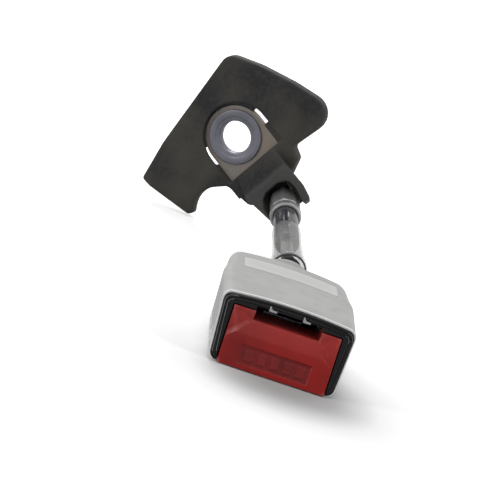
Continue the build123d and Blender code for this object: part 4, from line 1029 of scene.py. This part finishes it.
# ---------------- ferrule: octagon behind a round collar
FLAT_REACH = 6.1  # from the axis to each flat
FERRULE_SIDES = 8
FERRULE_ROLL = math.radians(2.7)
FERRULE_EDGE = 0.45
FERRULE_RINGS = (  # reach, and loss of the flats' distance
    (FERRULE_START, 0.7), (FERRULE_START + 0.7, 0.0), (STALK_LENGTH - 0.8, 0.0), (STALK_LENGTH, 0.8),
)
COLLAR = (  # radius, and reach from the collar's start
    (5.35, 2.0), (5.35, 0.3), (5.6, 0.0), (6.3, 0.0), (6.65, 0.25), (6.8, 0.8), (6.8, 3.2), (6.65, 3.9),
    (6.3, 4.6), (5.9, 5.2), (5.6, 6.2), (3.0, 6.2), (3.0, 2.0),
)
COLLAR_STEPS = 64
half_side = math.pi / FERRULE_SIDES
rings = []
for reach, loss in FERRULE_RINGS:
    corner = (FLAT_REACH - loss) / math.cos(half_side)
    turns = [FERRULE_ROLL + half_side * (2 * k + 1) for k in range(FERRULE_SIDES)]
    rings.append([stalk(corner, turn, reach) for turn in turns])
ferrule = scrap("piece_ferrule", skin(rings))
bevel(ferrule, FERRULE_EDGE, segments=3, angle=20)
bake(ferrule, sharp=35)
collar = [(r, COLLAR_START + y) for r, y in COLLAR]
join(ferrule, scrap("collar", revolved(collar, stalk, COLLAR_STEPS)))
dress(ferrule, MAT_FERRULE, "anchor_ferrule", "ferrule_steel", sharp=35)

# ---------------- flanged bush in the bolt hole
BUSH = (
    (7.0, -2.5), (9.6, -2.5), (9.6, 1.5), (11.9, 1.5), (12.0, 1.6), (12.0, 2.2), (11.85, 2.4),
    (11.5, 2.5), (9.4, 2.5), (9.05, 2.35), (8.85, 2.2), (8.3, 2.1), (7.7, 2.05), (7.25, 1.9), (7.05, 1.6),
)
BUSH_STEPS = 72
dress(scrap("piece_bush", revolved(BUSH, bolt, BUSH_STEPS)), MAT_BUSH, "anchor_bush", "bush_steel")

# ---------------- moulded cover of the anchor
CAP_CORNERS = (  # right, up and corner radius on the anchor's plane
    (-33.1, -33.0, 1.5), (-28.7, -35.0, 2.0), (-8.2, -39.7, 1.0), (-6.1, -38.5, 1.0), (-8.0, -27.4, 11.0),
    (4.7, -21.1, 3.0), (16.6, -25.2, 1.5), (19.6, -22.4, 1.0), (29.6, -5.0, 1.0), (30.4, 2.8, 1.6),
    (26.5, 7.0, 1.5), (41.2, 28.6, 8.3), (17.1, 32.7, 30.0), (0.5, 34.0, 30.0), (-15.3, 33.4, 6.0),
    (-29.4, -14.0, 40.0),
)
CAP_FACE, CAP_TOP, CAP_BASE = 2.2, 4.6, -1.8  # inner face, outer face and skirt's edge
CAP_WALL, CAP_EDGE = 1.6, 1.5
LAP, SINK = 0.3, 0.1  # how far added solids reach into the cover, and stay below its faces
HOLLOW_DEPTH = CAP_BASE - 2  # cutters end clear of the skirt's edge
PASSAGE = ((25.2, 30.0), (-8.8, 9.6))  # where the ferrule passes the skirt: along and across the strip
RAMP_START, RAMP_END, RAMP_BACK = 14.1, 25.2, 27.5  # along the strip
HOOD_LEFT, HOOD_RIGHT, HOOD_TOP = -10.0, 14.7, 13.2
HOOD_LEAN = math.tan(math.radians(22.0))
HOOD_EDGE = 1.1
HOOD_RIM = (  # along and across the strip, corner radius
    (24.6, -10.0, 1.0), (28.2, -10.2, 0.8), (28.8, -8.9, 0.6), (40.4, -6.9, 0.3), (40.2, -6.2, 0.3),
    (34.2, -6.4, 2.0), (29.8, -3.8, 3.0), (28.3, -0.5, 3.0), (28.2, 6.4, 3.0), (30.2, 10.8, 2.5),
    (35.1, 11.6, 6.0), (42.4, 9.8, 0.8), (42.6, 13.9, 1.6), (36.0, 15.2, 8.0), (26.6, 14.9, 1.0),
    (24.6, 12.8, 1.2),
)
LEFT_WALL, LEFT_WALL_TOP = ((28.8, -8.7), (40.3, -6.8), (40.2, -6.0), (29.6, -5.6)), 8.0
SHELF = ((24.0, -9.0), (28.8, -8.7), (40.0, -6.9), (40.0, 8.0), (24.0, 8.0))
STRAP_BASE, STRAP_TOP = -3.5, -1.5
STRAP = ((13.5, 25), (-16.1, 16.1))
WINDOW_CENTRE, WINDOW_RADIUS, WINDOW_LEDGE = (1.2, 1.3), 15.7, 0.6
WINDOW_LAYERS = (CAP_BASE + 0.2, CAP_TOP + 20)
WINDOW_TURN, COLLAR_TURN, TUNNEL_TURN = range(90, 271, 5), range(109, 253, 4), range(107, 255, 4)
TUNNEL_RADIUS = 14.1  # room for the bracket's round end
COLLAR_TOP = CAP_FACE + 0.2
WEBS = (-16.1, -TUNNEL_RADIUS), (TUNNEL_RADIUS, 17.5)  # across the strip
WEB_SPAN = (4, 22)
LIP_INNER, LIP_OUTER, LIP_TOP = 12.6, 14.6, -2.1  # ring under the bracket's end
CAP_VOXEL, CAP_SMOOTHING = 0.38, 12


def inset_corners(corners, inset):
    """Corners of the same outline, moved in by a distance."""
    out = []
    for i, (x, y, r) in enumerate(corners):
        here = Vector((x, y))
        a = (here - Vector(corners[i - 1][:2])).normalized()
        b = (Vector(corners[(i + 1) % len(corners)][:2]) - here).normalized()
        side_a, side_b = Vector((-a.y, a.x)), Vector((-b.y, b.x))
        moved = here + (side_a + side_b) / (1 + side_a.dot(side_b)) * inset
        out.append((moved.x, moved.y, r + inset if a.cross(b) < 0 else max(0.0, r - inset)))
    return out


def leaning(n):
    """Layer of the hood, whose right side leans over the ferrule."""
    def place(s, t):
        share = min(1.0, max(0.0, (t - HOOD_LEFT) / (HOOD_RIGHT - HOOD_LEFT)))
        return strip(s, t - (HOOD_TOP - n) * HOOD_LEAN * share, n)
    return place


def arc(radius, degrees, centre=(0, 0)):
    """Points at some degrees of a circle on the strip."""
    turns = [math.radians(k) for k in degrees]
    return [(centre[0] + radius * math.cos(a), centre[1] + radius * math.sin(a)) for a in turns]


cap = scrap("piece_cap", prism(rounded(CAP_CORNERS, steps=8), on_anchor(CAP_TOP), on_anchor(CAP_BASE)))
bevel(cap, CAP_EDGE, segments=5, angle=60)
bake(cap, sharp=40)
hollow = rounded(inset_corners(CAP_CORNERS, CAP_WALL), steps=2)
cut(cap, prism(hollow, on_anchor(CAP_FACE), on_anchor(HOLLOW_DEPTH)))
cut(cap, block(strip, *PASSAGE, (HOLLOW_DEPTH + 1, CAP_FACE)))
# Hood: a ramp from the window up to the rim, and the rim itself round the ferrule.
ramp = (
    (RAMP_START, CAP_FACE + LAP), (RAMP_START, CAP_TOP - SINK), (RAMP_END, HOOD_TOP - SINK),
    (RAMP_BACK, HOOD_TOP - LAP), (RAMP_BACK, CAP_FACE + LAP),
)
unite(cap, skin([[leaning(n)(s, t) for s, n in ramp] for t in (HOOD_LEFT, HOOD_RIGHT)]))
rim = scrap("rim", prism(rounded(HOOD_RIM, steps=5), leaning(HOOD_TOP), leaning(CAP_FACE)))
bevel(rim, HOOD_EDGE, segments=4, angle=50)
bake(rim, sharp=40)
boolean(cap, rim, "UNION")
unite(cap, prism(LEFT_WALL, on_strip(STRAP_BASE), on_strip(LEFT_WALL_TOP)))
unite(cap, prism(SHELF, on_strip(STRAP_BASE), on_strip(CAP_BASE)))
# Window over the bush, and the collar, webs and lip that hold the bracket's end.
window = arc(WINDOW_RADIUS, WINDOW_TURN, WINDOW_CENTRE)
window += [(RAMP_START, WINDOW_CENTRE[1] + side * WINDOW_RADIUS) for side in (-1, 1)]
cut(cap, prism(window, *map(on_strip, WINDOW_LAYERS)))
collar = arc(WINDOW_RADIUS + WINDOW_LEDGE, COLLAR_TURN, WINDOW_CENTRE)
collar += arc(TUNNEL_RADIUS, TUNNEL_TURN[::-1])
unite(cap, prism(collar, on_strip(STRAP_BASE), on_strip(COLLAR_TOP)))
for web in WEBS:
    unite(cap, block(strip, WEB_SPAN, web, (STRAP_BASE, CAP_FACE + LAP)))
lip = arc(LIP_OUTER, TUNNEL_TURN) + arc(LIP_INNER, TUNNEL_TURN[::-1])
unite(cap, prism(lip, on_strip(STRAP_BASE), on_strip(LIP_TOP)))
unite(cap, block(strip, *STRAP, (STRAP_BASE, STRAP_TOP)))
modify(cap, "REMESH", mode="VOXEL", voxel_size=CAP_VOXEL * MM)
modify(cap, "SMOOTH", factor=0.5, iterations=CAP_SMOOTHING)
bake(cap, sharp=60)
dress(cap, MAT_CAP, "anchor_cover", "anchor_plastic", sharp=70)

# ---------------- nodes that keep their own shape
FINISH = {
    MAT_FRAME: ("frame", "latch", "rope_socket"),
    MAT_SPRING: ("latch_spring", "ejector_spring", "button_spring_left", "button_spring_right"),
    MAT_CLIP: ("latch_pin", "lock_pin", "socket_pin"),
    MAT_LOCK: ("lock_slider", "ejector"),
    MAT_BRACKET: ("anchor_bracket",),
}
for material, names in FINISH.items():
    for name in names:
        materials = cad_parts[name].data.materials
        if not materials:
            materials.append(material)
        for k in range(len(materials)):
            materials[k] = material

# ---------------- floor, with a painted shadow right under the head
FLOOR_COLOUR, SHADE_COLOUR, SHADE_SPAN = 0.86, 0.46, (10.0, 40.0)
# The floor's glow, seen only by the camera, fades near the head as part of the painted shadow.
FLOOR_GLOW, SHADE_GLOW, GLOW_SPAN = 0.55, 0.02, (20.0, 100.0)
SHADE_CENTRE = head(6.0, -10.0, 0.0)
FLOOR_GAP = 0.1
FLOOR_SIZE = 3.0  # metres each way from the middle

floor_material = bpy.data.materials.new("floor")
paint = Tree(floor_material)
distance = paint.measured("DISTANCE", SHADE_CENTRE)
diffuse = paint.add("ShaderNodeBsdfDiffuse")
glow = paint.add("ShaderNodeEmission")
paint.link(paint.span(distance, *SHADE_SPAN, SHADE_COLOUR, FLOOR_COLOUR), diffuse.inputs["Color"])
paint.link(paint.span(distance, *GLOW_SPAN, SHADE_GLOW, FLOOR_GLOW), glow.inputs["Strength"])
both = paint.add("ShaderNodeAddShader")
paint.link(diffuse.outputs[0], both.inputs[0])
paint.link(glow.outputs[0], both.inputs[1])
pick = paint.add("ShaderNodeMixShader")
paint.link(paint.add("ShaderNodeLightPath").outputs["Is Camera Ray"], pick.inputs[0])
paint.link(diffuse.outputs[0], pick.inputs[1])
paint.link(both.outputs[0], pick.inputs[2])
paint.link(pick.outputs[0], paint.add("ShaderNodeOutputMaterial").inputs[0])

level = (HEAD.z - FLOOR_GAP) * MM
corners = [(x * FLOOR_SIZE, y * FLOOR_SIZE, level) for x, y in ((-1, -1), (1, -1), (1, 1), (-1, 1))]
floor_mesh = bpy.data.meshes.new("floor")
floor_mesh.from_pydata(corners, [], [(0, 1, 2, 3)])
floor_mesh.materials.append(floor_material)
floor = bpy.data.objects.new("floor", floor_mesh)
bpy.context.collection.objects.link(floor)

# ---------------- surroundings, white where seen
SKY_LIGHT, SKY_SEEN = 0.32, 1.0
world = bpy.data.worlds.new("surroundings")
bpy.context.scene.world = world
sky = Tree(world)
rays = sky.add("ShaderNodeLightPath")
seen = rays.outputs["Is Camera Ray"]
for ray in ("Is Transmission Ray", "Is Glossy Ray"):
    either = sky.add("ShaderNodeMath", operation="MAXIMUM")
    sky.link(seen, either.inputs[0])
    sky.link(rays.outputs[ray], either.inputs[1])
    seen = either.outputs[0]
pick = sky.add("ShaderNodeMixShader")
sky.link(seen, pick.inputs[0])
for strength, socket in zip((SKY_LIGHT, SKY_SEEN), pick.inputs[1:3]):
    background = sky.add("ShaderNodeBackground")
    background.inputs["Color"].default_value = (1, 1, 1, 1)
    background.inputs["Strength"].default_value = strength
    sky.link(background.outputs[0], socket)
sky.link(pick.outputs[0], sky.add("ShaderNodeOutputWorld").inputs[0])

# ---------------- lamps, aimed at the part's middle
LAMP_AIM = Vector((0.01, -0.09, -0.02))
LAMPS = (  # name, place, width and height in metres, and watts
    ("back_light", (-0.22, 0.70, 0.68), (0.6, 0.45), 5.8),
    ("top_light", (0.0, -0.4, 0.8), (0.35, 0.35), 1.3),
    ("left_light", (-0.8, -0.5, 0.35), (0.1, 0.8), 2.4),
    ("right_light", (0.8, -0.3, 0.4), (0.1, 0.8), 2.0),
)
for name, place, size, power in LAMPS:
    data = bpy.data.lights.new(name, "AREA")
    data.shape = "RECTANGLE"
    data.size, data.size_y = size
    data.energy = power
    lamp = bpy.data.objects.new(name, data)
    bpy.context.collection.objects.link(lamp)
    lamp.location = place
    lamp.rotation_mode = "QUATERNION"
    lamp.rotation_quaternion = (LAMP_AIM - Vector(place)).to_track_quat("-Z", "Y")
